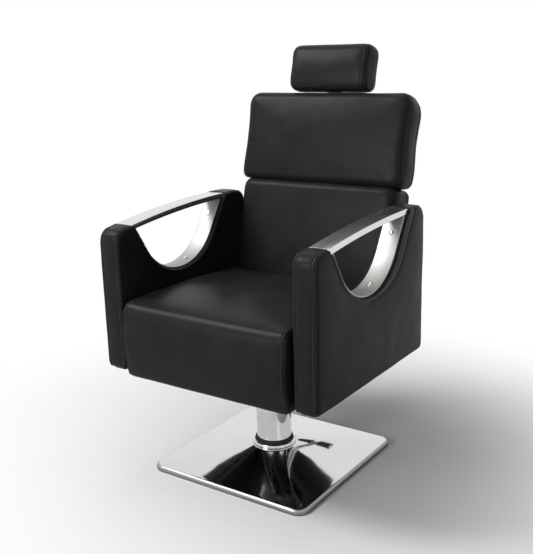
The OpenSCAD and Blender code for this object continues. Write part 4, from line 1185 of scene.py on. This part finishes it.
class CHAIR_OT_column(bpy.types.Operator):
    """Spins the chromed shroud and the trim ring of the column"""

    bl_idname = "chair.column"
    bl_label = "Column"

    def execute(self, context):
        chrome = Finishes.made["chrome"]
        low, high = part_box("pump_shroud")
        shroud = spun_ring("column_shroud_chromed", high.x - 1.5 * MM, high.x, low.z, high.z, 0.6 * MM)
        dress(shroud, chrome, "chrome", "pump", "pump_shroud")
        low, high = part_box("trim_ring")
        ring = spun_ring("trim_ring_chromed", high.x - 10 * MM, high.x, low.z, high.z, 3.6 * MM)
        dress(ring, chrome, "chrome", "base", "trim_ring")
        return {"FINISHED"}


class CHAIR_OT_stage(bpy.types.Operator):
    """Sets the pale floor, the soft lamps and the camera at the photograph's angle"""

    bl_idname = "chair.stage"
    bl_label = "Stage"

    # Name, place, size and power of each lamp
    lamps = (
        ("key", (-1.80, -1.31, 2.90), 1.3, 74),
        ("front", (-0.80, -2.85, 1.45), 1.3, 42),
        ("fill", (2.6, -1.1, 1.5), 2.0, 3),
        ("top", (-0.3, 0.2, 3.2), 2.2, 16))

    # Height that the lamps point at, and how strong the world is as a light and as a background
    aim_z = 0.55
    world_light = 0.22
    world_white = 1.0

    # Distances between which the floor fades into the white background
    fade = (0.40, 1.30)

    def execute(self, context):
        self.floor(context.scene.chair_colours.floor)
        self.world()
        for lamp in self.lamps:
            self.lamp(*lamp)
        self.camera(context)
        context.scene.view_settings.view_transform = "Standard"
        return {"FINISHED"}

    def floor(self, colour):
        """A pale floor that fades into the white background away from the chair."""
        floor = add_plane("floor", size=40)
        material, tree, shader, speckle = new_material("pale floor", "speckle")
        tone = mixed_colour(tree, speckle.outputs["Cloud"], rgba(colour, 0.99), rgba(colour, 1.01))
        tree.links.new(tone, shader.inputs["Base Color"])
        shader.inputs["Roughness"].default_value = 0.9
        shader.inputs["Specular IOR Level"].default_value = 0.1
        place = tree.nodes.new("ShaderNodeTexCoord").outputs["Object"]
        length = add_node(tree, "ShaderNodeVectorMath", {"operation": "LENGTH"}, Vector=place)
        near, far = self.fade
        away = add_node(tree, "ShaderNodeMapRange", {"interpolation_type": "SMOOTHSTEP"},
                        Value=length.outputs["Value"], From_Min=near, From_Max=far)
        white = add_node(tree, "ShaderNodeEmission", Strength=1.0)
        mix = tree.nodes.new("ShaderNodeMixShader")
        share = math_node(tree, "MULTIPLY", away.outputs["Result"], seen_ray(tree))
        for socket, value in zip(mix.inputs, (share, shader.outputs[0], white.outputs[0])):
            tree.links.new(value, socket)
        tree.links.new(mix.outputs[0], tree.nodes["Material Output"].inputs["Surface"])
        floor.data.materials.append(material)

    def world(self):
        world = bpy.data.worlds.new("studio")
        bpy.context.scene.world = world
        world.use_nodes = True
        tree = world.node_tree
        tree.nodes.clear()
        strength = between(tree, seen_ray(tree), self.world_light, self.world_white)
        background = add_node(tree, "ShaderNodeBackground", Color=(1, 1, 1, 1), Strength=strength)
        add_node(tree, "ShaderNodeOutputWorld", Surface=background.outputs["Background"])

    def lamp(self, name, place, size, watts):
        data = bpy.data.lights.new(name, "AREA")
        data.shape = "DISK"
        data.size = size
        data.energy = watts
        lamp = bpy.data.objects.new(name, data)
        lamp.location = place
        way = Vector((0, 0, self.aim_z)) - Vector(place)
        lamp.rotation_euler = way.to_track_quat("-Z", "Y").to_euler()
        bpy.context.scene.collection.objects.link(lamp)

    def camera(self, context):
        azimuth, elevation, roll = (
            math.radians(a) for a in (CAMERA_AZIMUTH, CAMERA_ELEVATION, CAMERA_ROLL))
        back = Vector((math.sin(azimuth) * math.cos(elevation),
                       -math.cos(azimuth) * math.cos(elevation), math.sin(elevation)))
        right = (-back).cross(Vector((0, 0, 1))).normalized()
        up = right.cross(-back)
        turned_right = right * math.cos(roll) + up * math.sin(roll)
        turned_up = up * math.cos(roll) - right * math.sin(roll)
        data = bpy.data.cameras.new("camera")
        data.sensor_width = SENSOR_MM
        data.lens = FOCAL_PX * SENSOR_MM / PHOTO_HEIGHT_PX
        data.clip_end = 50
        camera = bpy.data.objects.new("camera", data)
        basis = Matrix((turned_right, turned_up, back)).transposed()
        place = CAMERA_TARGET + back * CAMERA_DISTANCE
        camera.matrix_world = Matrix.Translation(place) @ basis.to_4x4()
        context.scene.collection.objects.link(camera)
        context.scene.camera = camera


OPERATORS = (
    CHAIR_OT_finishes, CHAIR_OT_seat_cushion, CHAIR_OT_arm_panels, CHAIR_OT_back_pads,
    CHAIR_OT_headrest, CHAIR_OT_arm_steel, CHAIR_OT_base, CHAIR_OT_column, CHAIR_OT_stage)


class CHAIR_PT_panel(bpy.types.Panel):
    """Lists the chair's operators, sizes and colours"""

    bl_label = "Threading chair"
    bl_idname = "CHAIR_PT_panel"
    bl_space_type = "VIEW_3D"
    bl_region_type = "UI"
    bl_category = "Chair"

    def draw(self, context):
        for operator in OPERATORS:
            self.layout.operator(operator.bl_idname)
        for settings in (context.scene.chair_sizes, context.scene.chair_colours):
            for name in settings.bl_rna.properties.keys():
                if name not in ("rna_type", "name"):
                    self.layout.prop(settings, name)


CLASSES = (ChairSizes, ChairColours) + OPERATORS + (CHAIR_PT_panel,)


def register():
    for each in CLASSES:
        bpy.utils.register_class(each)
    bpy.types.Scene.chair_sizes = PointerProperty(type=ChairSizes)
    bpy.types.Scene.chair_colours = PointerProperty(type=ChairColours)


def unregister():
    del bpy.types.Scene.chair_colours
    del bpy.types.Scene.chair_sizes
    for each in reversed(CLASSES):
        bpy.utils.unregister_class(each)


def main():
    register()
    bpy.ops.chair.finishes()
    bpy.ops.chair.stage()
    bpy.ops.chair.seat_cushion()
    bpy.ops.chair.arm_panels()
    bpy.ops.chair.back_pads()
    bpy.ops.chair.headrest()
    bpy.ops.chair.arm_steel()
    bpy.ops.chair.base()
    bpy.ops.chair.column()


if __name__ == "__main__":
    main()
